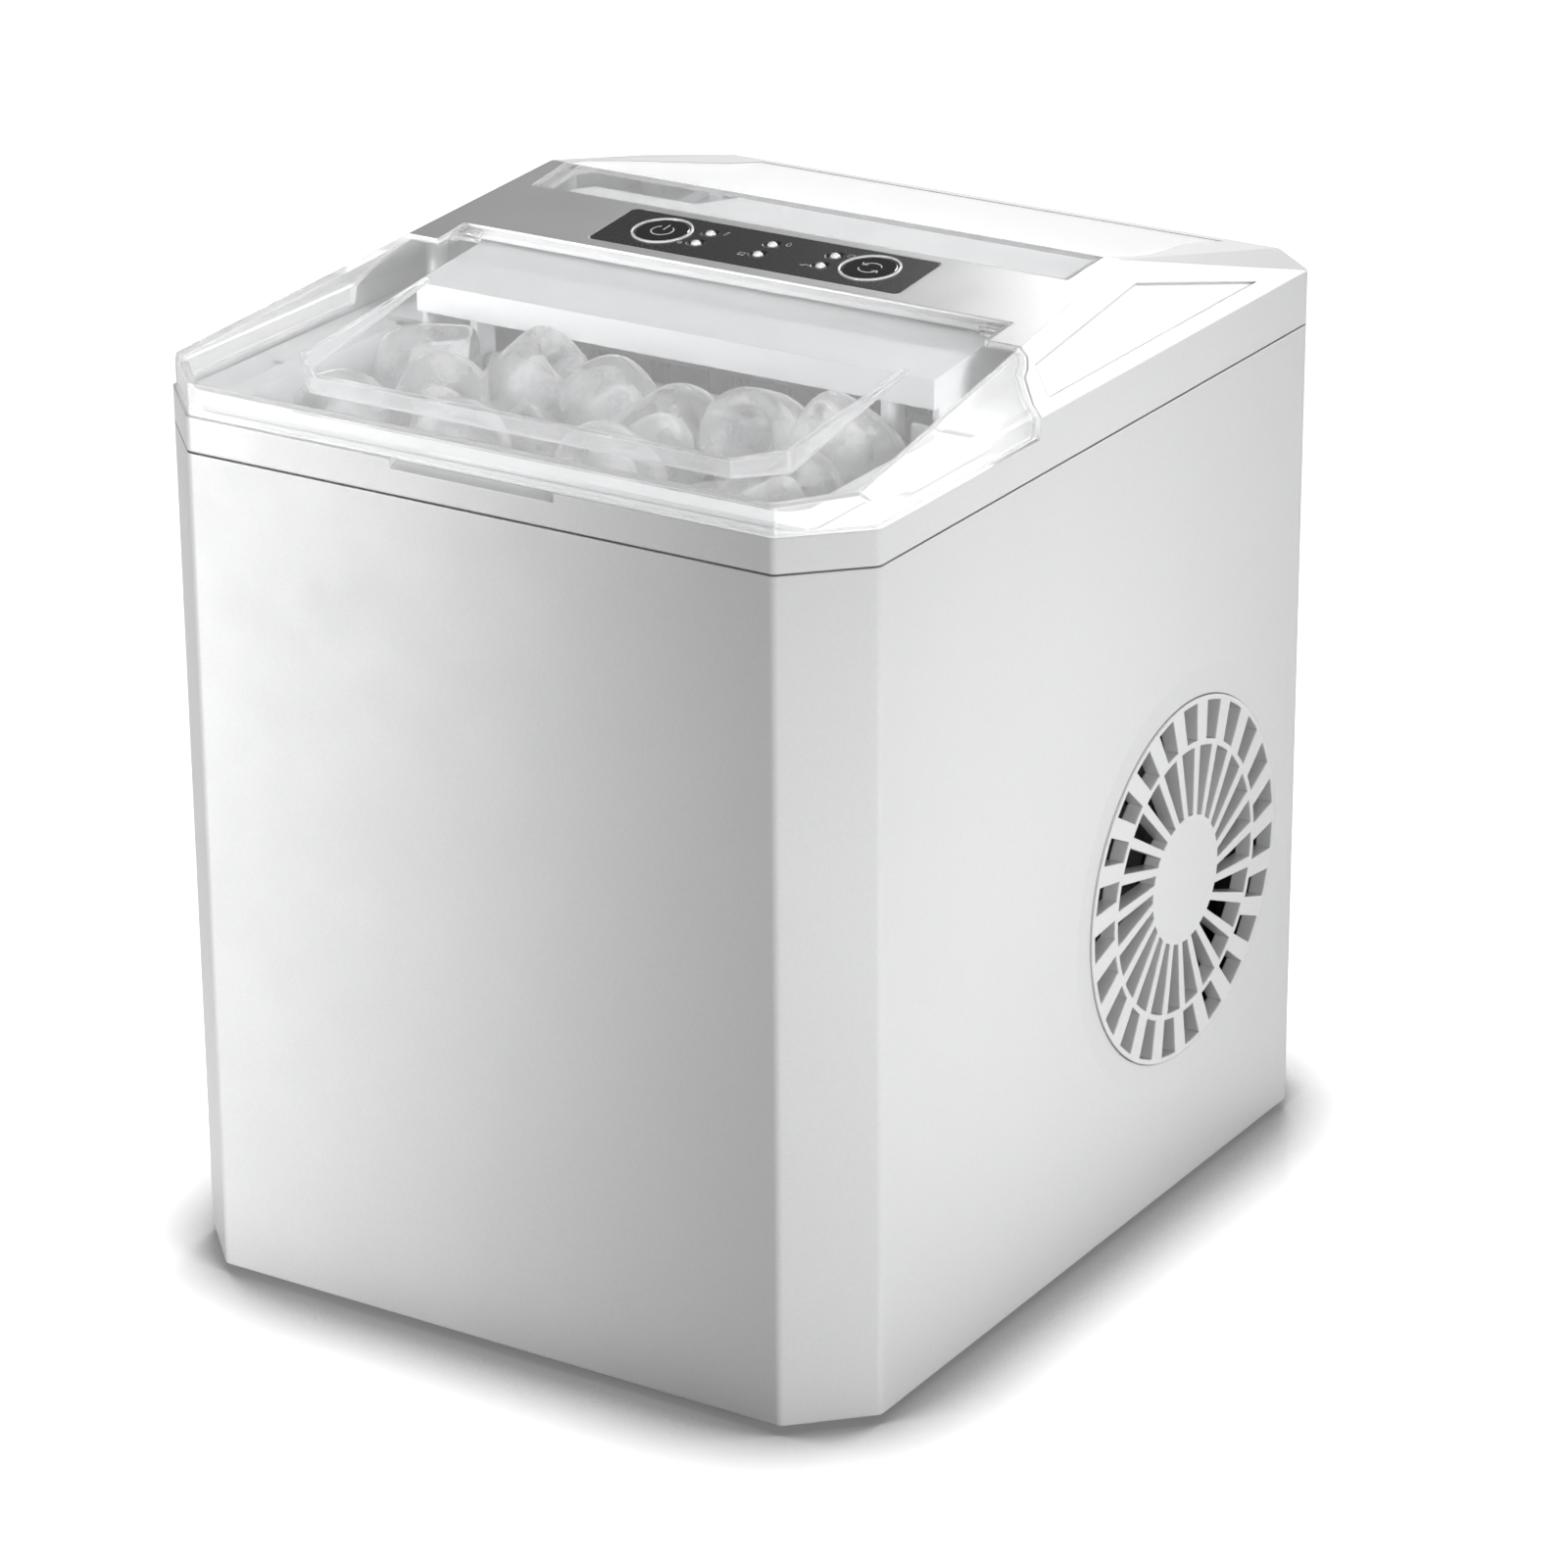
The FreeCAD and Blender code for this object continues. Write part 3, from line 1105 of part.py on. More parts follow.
def lean_spoke(turn, r0, r1, width, x0, depth):
    """Straight bar from r0 to r1 that leans from the radius, in the plane of the wall."""
    lean = math.radians(SPOKE_LEAN)
    start = math.radians(turn)
    end = start + lean * (r1 - r0) / (r0 + r1)
    a = Vector(0, r0 * math.cos(start), r0 * math.sin(start))
    b = Vector(0, r1 * math.cos(end), r1 * math.sin(end))
    along = (b - a).normalize()
    across = Vector(1, 0, 0).cross(along)
    root = across * (width / 2 * (0.86 if r0 > HUB_DISC_R else 0.7))
    tip = across * (width / 2)
    centre = Vector(x0, FAN_Y, FAN_Z)
    corners = [centre + p for p in (a - root, b - tip, b + tip, a + root)]
    return Part.Face(Part.makePolygon(corners + [corners[0]])).extrude(Vector(depth, 0, 0))


def fan_shroud():
    half = SHROUD_HALF
    frame = box(SHROUD_X0, SHROUD_X1, FAN_Y - half, FAN_Y + half, FAN_Z - half, FAN_Z + half)
    edges = [e for e in frame.Edges if abs(e.tangentAt(e.FirstParameter).x) > 0.99]
    frame = frame.makeFillet(8, edges)
    frame = frame.cut(rod(SHROUD_X0 - 1, FAN_Y, FAN_Z, FAN_TIP_R + 2, 40, (1, 0, 0)))
    arms = []
    for i in range(4):
        arm = box(12, 53, -2.5, 2.5, 0, 3)
        turn = Rotation(Vector(0, 1, 0), 90).multiply(Rotation(Vector(0, 0, 1), 45 + i * 90))
        arm.Placement = Placement(Vector(SHROUD_X0, FAN_Y, FAN_Z), turn)
        arms.append(arm)
    for y in (FAN_Y - 44, FAN_Y + 34):
        arms.append(box(SHROUD_X0 + 2, SHROUD_X1 - 2, y, y + 10, PAN_TOP, FAN_Z - half + 2))
    seat = rod(SHROUD_X0, FAN_Y, FAN_Z, MOTOR_R + 2, 3, (1, 0, 0))
    seat = seat.cut(rod(SHROUD_X0 - 1, FAN_Y, FAN_Z, 4, 6, (1, 0, 0)))
    return join([frame, seat] + arms).cut(rod(SHROUD_X0 - 1, FAN_Y, FAN_Z, 4, 6, (1, 0, 0)))


def fan_motor():
    case = rod(SHROUD_X0 - 10, FAN_Y, FAN_Z, MOTOR_R, 10, (1, 0, 0))
    shaft = rod(SHROUD_X0, FAN_Y, FAN_Z, MOTOR_SHAFT_R, 10, (1, 0, 0))
    return join([case, shaft])


def fan_rotor():
    x0 = SHROUD_X0 + 5
    hub = rod(x0, FAN_Y, FAN_Z, FAN_HUB_R, 16, (1, 0, 0))
    blades = []
    for i in range(BLADES):
        blade = Part.makeBox(1.6, 20, FAN_TIP_R - FAN_HUB_R + 3, Vector(-0.8, -10, FAN_HUB_R - 3))
        blade.rotate(Vector(0, 0, 0), Vector(0, 0, 1), -52)
        blade.rotate(Vector(0, 0, 0), Vector(1, 0, 0), i * 360.0 / BLADES)
        blade.translate(Vector(x0 + 8, FAN_Y, FAN_Z))
        blades.append(blade)
    envelope = rod(x0, FAN_Y, FAN_Z, FAN_TIP_R, 16, (1, 0, 0))
    rotor = join([hub] + blades).common(envelope)
    return rotor.cut(rod(x0 - 1, FAN_Y, FAN_Z, MOTOR_SHAFT_R + 0.06, 8, (1, 0, 0)))


def electronics_box():
    case = box(-HALF_W + WRAP_T, ECU_X, ECU_Y0, ECU_Y1, ECU_Z0, ECU_Z1)
    ribs = []
    for i in range(6):
        y = ECU_Y0 + 8 + i * 14.0
        ribs.append(box(ECU_X - 1, ECU_X + 1, y, y + 2, ECU_Z0 + 6, ECU_Z1 - 6))
    return join([case] + ribs)


PARTS = {
    "outer_wrap": outer_wrap,
    "rear_panel": rear_panel,
    "rear_panel_screws": rear_panel_screws,
    "power_gland": power_gland,
    "base_pan": base_pan,
    "rubber_feet": rubber_feet,
    "foot_screws": foot_screws,
    "top_cover": top_cover,
    "cover_screws": cover_screws,
    "rear_window": rear_window,
    "hinge_pins": hinge_pins,
    "ice_lid": ice_lid,
    "control_overlay": control_overlay,
    "button_rings": button_rings,
    "power_button": lambda: push_button(-1),
    "select_button": lambda: push_button(1),
    "indicator_leds": indicator_leds,
    "control_board": control_board,
    "board_screws": board_screws,
    "tact_switches": tact_switches,
    "inner_tub": inner_tub,
    "insulation": insulation,
    "ice_basket": ice_basket,
    "evaporator_hood": evaporator_hood,
    "evaporator_manifold": evaporator_manifold,
    "freezing_fingers": freezing_fingers,
    "evaporator_bracket": evaporator_bracket,
    "water_tray": water_tray,
    "tray_shaft": tray_shaft,
    "tray_motor": tray_motor,
    "ice_pusher": ice_pusher,
    "pusher_rod": pusher_rod,
    "ice_level_sensors": ice_level_sensors,
    "water_pump": water_pump,
    "pump_impeller": pump_impeller,
    "water_hose": water_hose,
    "drain_spout": drain_spout,
    "drain_plug": drain_plug,
    "drain_seal": drain_seal,
    "compressor": compressor,
    "compressor_grommets": compressor_grommets,
    "compressor_bolts": compressor_bolts,
    "condenser_fins": condenser_fins,
    "condenser_coil": condenser_coil,
    "discharge_line": discharge_line,
    "filter_drier": filter_drier,
    "drier_inlet_line": drier_inlet_line,
    "capillary_line": capillary_line,
    "suction_line": suction_line,
    "hot_gas_valve": hot_gas_valve,
    "fan_grille": fan_grille,
    "fan_shroud": fan_shroud,
    "fan_motor": fan_motor,
    "fan_rotor": fan_rotor,
    "electronics_box": electronics_box,
}

os.makedirs("parts", exist_ok=True)
for node, make in PARTS.items():
    save(node, make())
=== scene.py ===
import json
import math
import random

import bmesh
import bpy
from mathutils import Matrix, Vector, noise


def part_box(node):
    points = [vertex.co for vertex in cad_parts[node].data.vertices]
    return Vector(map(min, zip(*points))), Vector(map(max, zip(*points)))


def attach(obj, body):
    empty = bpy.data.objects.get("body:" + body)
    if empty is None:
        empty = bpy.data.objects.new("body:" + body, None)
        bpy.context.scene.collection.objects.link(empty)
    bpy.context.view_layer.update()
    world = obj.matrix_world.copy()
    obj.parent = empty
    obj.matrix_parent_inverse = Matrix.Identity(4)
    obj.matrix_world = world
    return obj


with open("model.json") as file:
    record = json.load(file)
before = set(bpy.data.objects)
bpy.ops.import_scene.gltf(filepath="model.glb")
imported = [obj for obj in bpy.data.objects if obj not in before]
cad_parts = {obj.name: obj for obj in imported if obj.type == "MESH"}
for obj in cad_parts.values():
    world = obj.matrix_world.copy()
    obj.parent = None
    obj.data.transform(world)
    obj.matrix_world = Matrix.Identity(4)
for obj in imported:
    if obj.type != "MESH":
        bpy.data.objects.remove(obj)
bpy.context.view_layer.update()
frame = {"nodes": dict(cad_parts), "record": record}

MM = 0.001

# ---- camera, at the viewing angle of the picture ----
CAMERA_AT = (0.89056, -1.39109, 0.80620)
CAMERA_AZIMUTH = 32.342
CAMERA_ELEVATION = 22.344
CAMERA_ROLL = -0.436
LENS = 136.64

# ---- light ----
SUN_POWER = 0.8
LEFT_POWER = 86.0
KEY_POWER = 164.0
REAR_POWER = 17.0
FILL_POWER = 26.0
BOX_POWER = 1.9
FLOOR_GLOW = 0.80
GLOW_THROUGH_PLASTIC = 0.55
# Reach and depth of the painted contact shadow on the floor paper.
SHADE_REACH = 0.05
SHADE_TONE = 0.16
WORLD_DIM = 0.12
WORLD_CARD = 1.0
CARD_TURN = math.radians(120.0)
CARD_TOP = 0.22

# ---- control panel ----
PANEL_RISE = 0.0976
OVERLAY_T = 0.6 * MM
BUTTON_X = 35.7 * MM
BUTTON_V = 1.0 * MM
LED_PITCH = 21.4 * MM
LED_ROW = 4.0 * MM
KEY_FACE = 0.16 * MM
PANEL_FACE = 0.03 * MM
INK_T = 0.04 * MM
SYMBOL_R = 3.4 * MM
SYMBOL_LINE = 0.42 * MM
ARROW_BARB = 1.7 * MM
MARK_LINE = 0.24 * MM
MARK_ASIDE = 4.6 * MM
MARK_BEYOND = 1.6 * MM

# Outlines of the small marks beside the lamps, in mm.
DROP = [(0, 1.5), (0.55, 0.5), (0.75, -0.2), (0.4, -0.9), (-0.4, -0.9), (-0.75, -0.2), (-0.55, 0.5)]
SQUARE = [(-0.9, -0.9), (0.9, -0.9), (0.9, 0.9), (-0.9, 0.9)]
BOLT = [(0.4, 1.3), (-0.5, -0.1), (0.5, 0.1), (-0.4, -1.3)]
WAVE = [(x, 0.45 * math.sin(x * 2.2)) for x in [i * 0.25 - 1.5 for i in range(13)]]

# ---- ice ----
ICE_R = 14.5 * MM
ICE_LENGTH = 32.0 * MM
ICE_WALL = 7.6 * MM
ICE_LUMP = 0.7 * MM
ICE_SPHERE = 15.3 * MM
ICE_STEPS = 18
ICE_COUNT = 46
ICE_WALL_GAP = 19.5 * MM
ICE_LID_GAP = 21.5 * MM
ICE_REAR_GAP = 15.5 * MM
ICE_PUSH_GAP = 21.0 * MM
BASKET_HALF = 91.5 * MM
BASKET_FRONT = 8.0 * MM
BASKET_REAR_Y = -47.5 * MM
BASKET_FLOOR = 2.0 * MM
BASKET_BACK_TOP = 225.0 * MM
UNDER_LID = 200.0 * MM
ICE_SEED = 1
PACK_STEPS = 420
PACK_PULL = 0.9 * MM
TINY = 1e-9

# ---- stage ----
FLOOR_HALF = 6.0
FLOOR_DROP = 0.2 * MM

# ---- surfaces ----
EDGE_WEAR = 0.25
CLEAR_ROUGH = 0.03
# Extra milkiness, and so lightness, at the edges of clear plastic: a painted highlight.
EDGE_MILK_HIGHLIGHT = 0.38


# ---------------------------------------------------------------- node helpers

def new_material(name):
    mat = bpy.data.materials.new(name)
    mat.use_nodes = True
    tree = mat.node_tree
    tree.nodes.clear()
    out = tree.nodes.new("ShaderNodeOutputMaterial")
    shader = tree.nodes.new("ShaderNodeBsdfPrincipled")
    tree.links.new(shader.outputs["BSDF"], out.inputs["Surface"])
    return mat, tree, shader, out


def object_coords(tree):
    return tree.nodes.new("ShaderNodeTexCoord").outputs["Object"]


def noise_value(tree, scale, detail=3.0, rough=0.5, stretch=None):
    tex = tree.nodes.new("ShaderNodeTexNoise")
    tex.inputs["Scale"].default_value = scale
    tex.inputs["Detail"].default_value = detail
    tex.inputs["Roughness"].default_value = rough
    coords = object_coords(tree)
    if stretch:
        mapping = tree.nodes.new("ShaderNodeMapping")
        mapping.inputs["Scale"].default_value = stretch
        tree.links.new(coords, mapping.inputs["Vector"])
        coords = mapping.outputs["Vector"]
    tree.links.new(coords, tex.inputs["Vector"])
    return tex.outputs["Fac"]


def cell_value(tree, scale):
    tex = tree.nodes.new("ShaderNodeTexVoronoi")
    tex.inputs["Scale"].default_value = scale
    tree.links.new(object_coords(tree), tex.inputs["Vector"])
    return tex.outputs["Color"]


def remap(tree, value, low, high, from_low=0.3, from_high=0.7):
    node = tree.nodes.new("ShaderNodeMapRange")
    node.inputs["From Min"].default_value = from_low
    node.inputs["From Max"].default_value = from_high
    node.inputs["To Min"].default_value = low
    node.inputs["To Max"].default_value = high
    tree.links.new(value, node.inputs["Value"])
    return node.outputs["Result"]


def math_node(tree, kind, a, b=None, c=None):
    node = tree.nodes.new("ShaderNodeMath")
    node.operation = kind
    for slot, value in enumerate((a, b, c)):
        if value is None:
            continue
        if isinstance(value, (int, float)):
            node.inputs[slot].default_value = value
        else:
            tree.links.new(value, node.inputs[slot])
    return node.outputs["Value"]


def mix_color(tree, factor, a, b):
    node = tree.nodes.new("ShaderNodeMix")
    node.data_type = "RGBA"
    if isinstance(factor, (int, float)):
        node.inputs["Factor"].default_value = factor
    else:
        tree.links.new(factor, node.inputs["Factor"])
    for socket, value in (("A", a), ("B", b)):
        target = [s for s in node.inputs if s.name == socket and s.type == "RGBA"][0]
        if isinstance(value, tuple):
            target.default_value = (*value, 1.0)
        else:
            tree.links.new(value, target)
    return [s for s in node.outputs if s.type == "RGBA"][0]


def soft_edge_normal(tree, radius):
    bevel = tree.nodes.new("ShaderNodeBevel")
    bevel.samples = 4
    bevel.inputs["Radius"].default_value = radius
    return bevel.outputs["Normal"]


def edge_mask(tree, radius):
    """1 along the edges of a solid and 0 on its flats, whatever the view."""
    geometry = tree.nodes.new("ShaderNodeNewGeometry")
    dot = tree.nodes.new("ShaderNodeVectorMath")
    dot.operation = "DOT_PRODUCT"
    tree.links.new(soft_edge_normal(tree, radius), dot.inputs[0])
    tree.links.new(geometry.outputs["Normal"], dot.inputs[1])
    return remap(tree, dot.outputs["Value"], 1.0, 0.0, 0.75, 0.99)


def bump(tree, height, strength, distance, normal=None):
    node = tree.nodes.new("ShaderNodeBump")
    node.inputs["Strength"].default_value = strength
    node.inputs["Distance"].default_value = distance
    tree.links.new(height, node.inputs["Height"])
    if normal is not None:
        tree.links.new(normal, node.inputs["Normal"])
    return node.outputs["Normal"]


def scaled(color, k):
    return tuple(min(1.0, c * k) for c in color)


def plastic(name, color, rough, grain=2600.0, grain_depth=0.02, vary=0.05, edge=0.6, coat=0.0):
    """Moulded plastic: mottled tone, fine grain, softened and worn edges.

    grain_depth and edge are in mm."""
    mat, tree, shader, _ = new_material(name)
    tone = mix_color(tree, remap(tree, noise_value(tree, 30.0, 4.0), 0.0, 1.0),
                     scaled(color, 1 - vary), scaled(color, 1 + vary))
    worn = math_node(tree, "MULTIPLY", edge_mask(tree, 1.2 * MM),
                     remap(tree, noise_value(tree, 220.0, 4.0), 0.0, EDGE_WEAR))
    tone = mix_color(tree, worn, tone, scaled(color, 1.0 + 0.5 * EDGE_WEAR))
    tree.links.new(tone, shader.inputs["Base Color"])
    spread = remap(tree, noise_value(tree, 90.0, 5.0), rough * 0.88, min(1.0, rough * 1.14))
    tree.links.new(spread, shader.inputs["Roughness"])
    shader.inputs["Coat Weight"].default_value = coat
    shader.inputs["Coat Roughness"].default_value = 0.12
    normal = soft_edge_normal(tree, edge * MM)
    normal = bump(tree, noise_value(tree, grain, 2.0), 0.25, grain_depth * MM, normal)
    tree.links.new(normal, shader.inputs["Normal"])
    return mat


def silver(name, color, rough=0.36, metal=0.35):
    """Silver coating on plastic: fine flakes that differ in tone, slight orange peel, worn edges."""
    mat, tree, shader, _ = new_material(name)
    flakes = cell_value(tree, 2400.0)
    separate = tree.nodes.new("ShaderNodeSeparateColor")
    tree.links.new(flakes, separate.inputs["Color"])
    flake_tone = mix_color(tree, separate.outputs["Red"], scaled(color, 0.955), scaled(color, 1.045))
    cloud = remap(tree, noise_value(tree, 14.0, 3.0), 0.0, 1.0)
    tone = mix_color(tree, cloud, scaled(color, 0.985), scaled(color, 1.015))
    tone = mix_color(tree, 0.5, flake_tone, tone)
    worn = math_node(tree, "MULTIPLY", edge_mask(tree, 1.5 * MM),
                     remap(tree, noise_value(tree, 160.0, 4.0), 0.0, 0.35))
    tree.links.new(mix_color(tree, worn, tone, scaled(color, 1.12)), shader.inputs["Base Color"])
    spread = remap(tree, noise_value(tree, 60.0, 5.0), rough * 0.93, rough * 1.08)
    tree.links.new(spread, shader.inputs["Roughness"])
    shader.inputs["Metallic"].default_value = metal
    shader.inputs["Coat Weight"].default_value = 0.25
    shader.inputs["Coat Roughness"].default_value = 0.16
    normal = soft_edge_normal(tree, 0.7 * MM)
    normal = bump(tree, noise_value(tree, 420.0, 2.0), 0.12, 0.02 * MM, normal)
    tree.links.new(normal, shader.inputs["Normal"])
    return mat


def metal_finish(name, color, rough, brushed=(1.0, 1.0, 1.0), tarnish=None, edge=0.3):
    """Bare or plated metal with fine lines and darker patches.

    brushed stretches the lines along the axis whose number is smallest. edge is in mm."""
    mat, tree, shader, _ = new_material(name)
    dark = tarnish or scaled(color, 0.72)
    patches = remap(tree, noise_value(tree, 70.0, 5.0), 0.0, 0.45, 0.45, 0.75)
    tone = mix_color(tree, patches, scaled(color, 1.06), dark)
    tree.links.new(tone, shader.inputs["Base Color"])
    shader.inputs["Metallic"].default_value = 1.0
    lines = noise_value(tree, 900.0, 3.0, 0.6, brushed)
    tree.links.new(remap(tree, lines, rough * 0.75, min(1.0, rough * 1.35)), shader.inputs["Roughness"])
    normal = bump(tree, lines, 0.2, 0.015 * MM, soft_edge_normal(tree, edge * MM))
    tree.links.new(normal, shader.inputs["Normal"])
    return mat


def rubbery(name, color, rough=0.72):
    """Rubber or silicone: matt, dusty in patches, finely pitted."""
    mat, tree, shader, _ = new_material(name)
    dust = remap(tree, noise_value(tree, 120.0, 6.0, 0.65), 0.0, 0.5, 0.45, 0.8)
    tree.links.new(mix_color(tree, dust, color, scaled(color, 2.2)), shader.inputs["Base Color"])
    tree.links.new(remap(tree, noise_value(tree, 300.0), rough * 0.9, min(1.0, rough * 1.15)),
                   shader.inputs["Roughness"])
    normal = soft_edge_normal(tree, 0.4 * MM)
    normal = bump(tree, noise_value(tree, 1800.0, 3.0), 0.4, 0.03 * MM, normal)
    tree.links.new(normal, shader.inputs["Normal"])
    return mat


def let_lamps_through(tree, shader, out, tint):
    """Lamp rays pass a clear wall unbent, so that what is behind it is lit."""
    path = tree.nodes.new("ShaderNodeLightPath")
    clear = tree.nodes.new("ShaderNodeBsdfTransparent")
    clear.inputs["Color"].default_value = (*tint, 1.0)
    mix = tree.nodes.new("ShaderNodeMixShader")
    tree.links.new(path.outputs["Is Shadow Ray"], mix.inputs["Fac"])
    tree.links.new(shader.outputs["BSDF"], mix.inputs[1])
    tree.links.new(clear.outputs["BSDF"], mix.inputs[2])
    tree.links.new(mix.outputs["Shader"], out.inputs["Surface"])


def clear_plastic(name, color, see_through):
    """Clear moulded styrene: faint flow marks, slight ripple, milky all over and more so at edges,
    where the extra milk is a painted highlight for the light that the edges catch.

    The low IOR keeps what lies behind it from bending as through a thick lens, and the coat
    gives back the gloss of the real plastic."""
    mat, tree, shader, out = new_material(name)
    haze = remap(tree, noise_value(tree, 26.0, 4.0), 0.96, 1.0)
    tree.links.new(mix_color(tree, haze, scaled(color, 0.94), color), shader.inputs["Base Color"])
    # Painted highlight: the edges let less through and show more milky white, standing in for the light
    # they catch.
    edges = edge_mask(tree, 1.4 * MM)
    clearness = math_node(tree, "MULTIPLY_ADD", edges, -EDGE_MILK_HIGHLIGHT, see_through)
    tree.links.new(clearness, shader.inputs["Transmission Weight"])
    marks = noise_value(tree, 40.0, 5.0, 0.6, (1.0, 6.0, 1.0))
    tree.links.new(remap(tree, marks, CLEAR_ROUGH * 0.7, CLEAR_ROUGH * 1.8), shader.inputs["Roughness"])
    shader.inputs["IOR"].default_value = 1.17
    shader.inputs["Coat Weight"].default_value = 0.55
    shader.inputs["Coat Roughness"].default_value = 0.05
    shader.inputs["Coat IOR"].default_value = 1.46
    normal = soft_edge_normal(tree, 0.5 * MM)
    ripple = bump(tree, noise_value(tree, 24.0, 2.0), 0.15, 0.25 * MM, normal)
    tree.links.new(ripple, shader.inputs["Normal"])
    let_lamps_through(tree, shader, out, (0.98, 0.98, 0.98))
    return mat


def ice_material():
    """Ice: clear and cloudy in patches, with an uneven melted surface."""
    mat, tree, shader, out = new_material("ice")
    cloud = remap(tree, noise_value(tree, 70.0, 4.0, 0.6), 0.0, 1.0, 0.36, 0.64)
    tone = mix_color(tree, cloud, (0.955, 0.957, 0.96), (0.99, 0.991, 0.993))
    tree.links.new(tone, shader.inputs["Base Color"])
    tree.links.new(remap(tree, cloud, 0.90, 0.58, 0.0, 1.0), shader.inputs["Transmission Weight"])
    tree.links.new(remap(tree, noise_value(tree, 160.0, 4.0), 0.04, 0.16), shader.inputs["Roughness"])
    shader.inputs["IOR"].default_value = 1.25
    shader.inputs["Coat Weight"].default_value = 0.5
    shader.inputs["Coat Roughness"].default_value = 0.07
    melt = bump(tree, noise_value(tree, 90.0, 2.0), 0.15, 0.5 * MM)
    tree.links.new(melt, shader.inputs["Normal"])
    let_lamps_through(tree, shader, out, (0.90, 0.903, 0.906))
    return mat


def gloss_black(name, color=(0.012, 0.012, 0.014), rough=0.14):
    """Printed clear film or polished cap: deep black, light dust and hairlines."""
    mat, tree, shader, _ = new_material(name)
    dust = remap(tree, noise_value(tree, 2600.0, 3.0, 0.6), 0.0, 0.10, 0.60, 0.85)
    tree.links.new(mix_color(tree, dust, color, (0.09, 0.09, 0.095)), shader.inputs["Base Color"])
    hair = noise_value(tree, 1400.0, 3.0, 0.5, (1.0, 6.0, 1.0))
    tree.links.new(remap(tree, hair, rough * 0.92, rough * 1.12), shader.inputs["Roughness"])
    shader.inputs["Coat Weight"].default_value = 0.6
    shader.inputs["Coat Roughness"].default_value = 0.06
    normal = soft_edge_normal(tree, 0.25 * MM)
    normal = bump(tree, noise_value(tree, 260.0, 2.0), 0.03, 0.006 * MM, normal)
    tree.links.new(normal, shader.inputs["Normal"])
    return mat


def foam_material():
    """Yellowed foam with open cells."""
    mat, tree, shader, _ = new_material("foam")
    cells = noise_value(tree, 700.0, 5.0, 0.7)
    tree.links.new(mix_color(tree, cells, (0.62, 0.55, 0.36), (0.84, 0.79, 0.6)),
                   shader.inputs["Base Color"])
    shader.inputs["Roughness"].default_value = 0.92
    tree.links.new(bump(tree, cells, 0.8, 0.5 * MM), shader.inputs["Normal"])
    return mat


def board_material():
    """Circuit board: green solder mask with tracks."""
    mat, tree, shader, _ = new_material("board")
    brick = tree.nodes.new("ShaderNodeTexBrick")
    brick.inputs["Scale"].default_value = 260.0
    brick.inputs["Mortar Size"].default_value = 0.06
    brick.inputs["Color1"].default_value = (0.02, 0.13, 0.05, 1)
    brick.inputs["Color2"].default_value = (0.025, 0.16, 0.06, 1)
    brick.inputs["Mortar"].default_value = (0.06, 0.28, 0.11, 1)
    tree.links.new(object_coords(tree), brick.inputs["Vector"])
    tree.links.new(brick.outputs["Color"], shader.inputs["Base Color"])
    tree.links.new(remap(tree, noise_value(tree, 200.0), 0.25, 0.4), shader.inputs["Roughness"])
    tree.links.new(bump(tree, brick.outputs["Fac"], 0.3, 0.03 * MM), shader.inputs["Normal"])
    return mat


# ---------------------------------------------------------------- materials by CAD node

SILVER = (0.63, 0.632, 0.636)
WHITE = (0.80, 0.81, 0.815)


def dress(names, mat):
    for name in names:
        data = frame["nodes"][name].data
        if not data.materials:
            data.materials.append(mat)
        for i in range(len(data.materials)):
            data.materials[i] = mat


def smooth(obj, angle=32.0):
    for poly in obj.data.polygons:
        poly.use_smooth = True
    obj.data.set_sharp_from_angle(angle=math.radians(angle))


def dress_outside():
    """Shell, clear parts and control panel."""
    dress(["outer_wrap"], silver("silver_shell", SILVER))
    dress(["top_cover", "fan_grille"], silver("silver_cover", scaled(SILVER, 1.04)))
    dress(["ice_lid"], clear_plastic("clear_lid", (0.945, 0.947, 0.95), 0.78))
    dress(["rear_window"], clear_plastic("clear_window", (0.95, 0.953, 0.957), 0.76))
    dress(["control_overlay"], gloss_black("black_overlay", (0.034, 0.034, 0.036), 0.26))
    dress(["power_button", "select_button"], gloss_black("black_button"))
    dress(["button_rings"], silver("ring_silver", (0.93, 0.93, 0.935), 0.3, 0.2))
    dress(["indicator_leds"], plastic("led_lens", (0.84, 0.86, 0.86), 0.3, 1500.0, 0.01, 0.03, 0.2))


def dress_mouldings():
    """Plain moulded plastic parts and the painted compressor."""
    dress(["inner_tub"], plastic("liner", WHITE, 0.38, 900.0, 0.02, 0.03))
    dress(["ice_basket"], plastic("basket", scaled(WHITE, 0.96), 0.42, 1400.0, 0.03, 0.03))
    dress(["evaporator_hood", "water_tray", "ice_pusher"],
          plastic("hood", scaled(WHITE, 1.04), 0.4, 1200.0, 0.02, 0.03))
    dress(["pump_impeller"], plastic("impeller", (0.7, 0.7, 0.68), 0.4))
    dress(["rear_panel"], plastic("rear_panel", (0.36, 0.365, 0.37), 0.55, 3000.0, 0.05))
    dress(["electronics_box"], plastic("box_grey", (0.2, 0.21, 0.22), 0.5, 2500.0, 0.04))
    dress(["drain_spout", "drain_plug"], plastic("drain_grey", (0.3, 0.3, 0.31), 0.48, 2500.0, 0.03))
    black = plastic("moulded_black", (0.025, 0.025, 0.027), 0.42, 2800.0, 0.05, 0.15)
    dress(["fan_shroud", "fan_motor", "tray_motor", "ice_level_sensors", "water_pump", "power_gland"],
          black)
    dress(["fan_rotor"], plastic("fan_black", (0.03, 0.03, 0.033), 0.35, 1200.0, 0.02, 0.1))
    dress(["compressor"], plastic("compressor_paint", (0.014, 0.014, 0.015), 0.3, 500.0, 0.04, 0.2,
                                  coat=0.4))


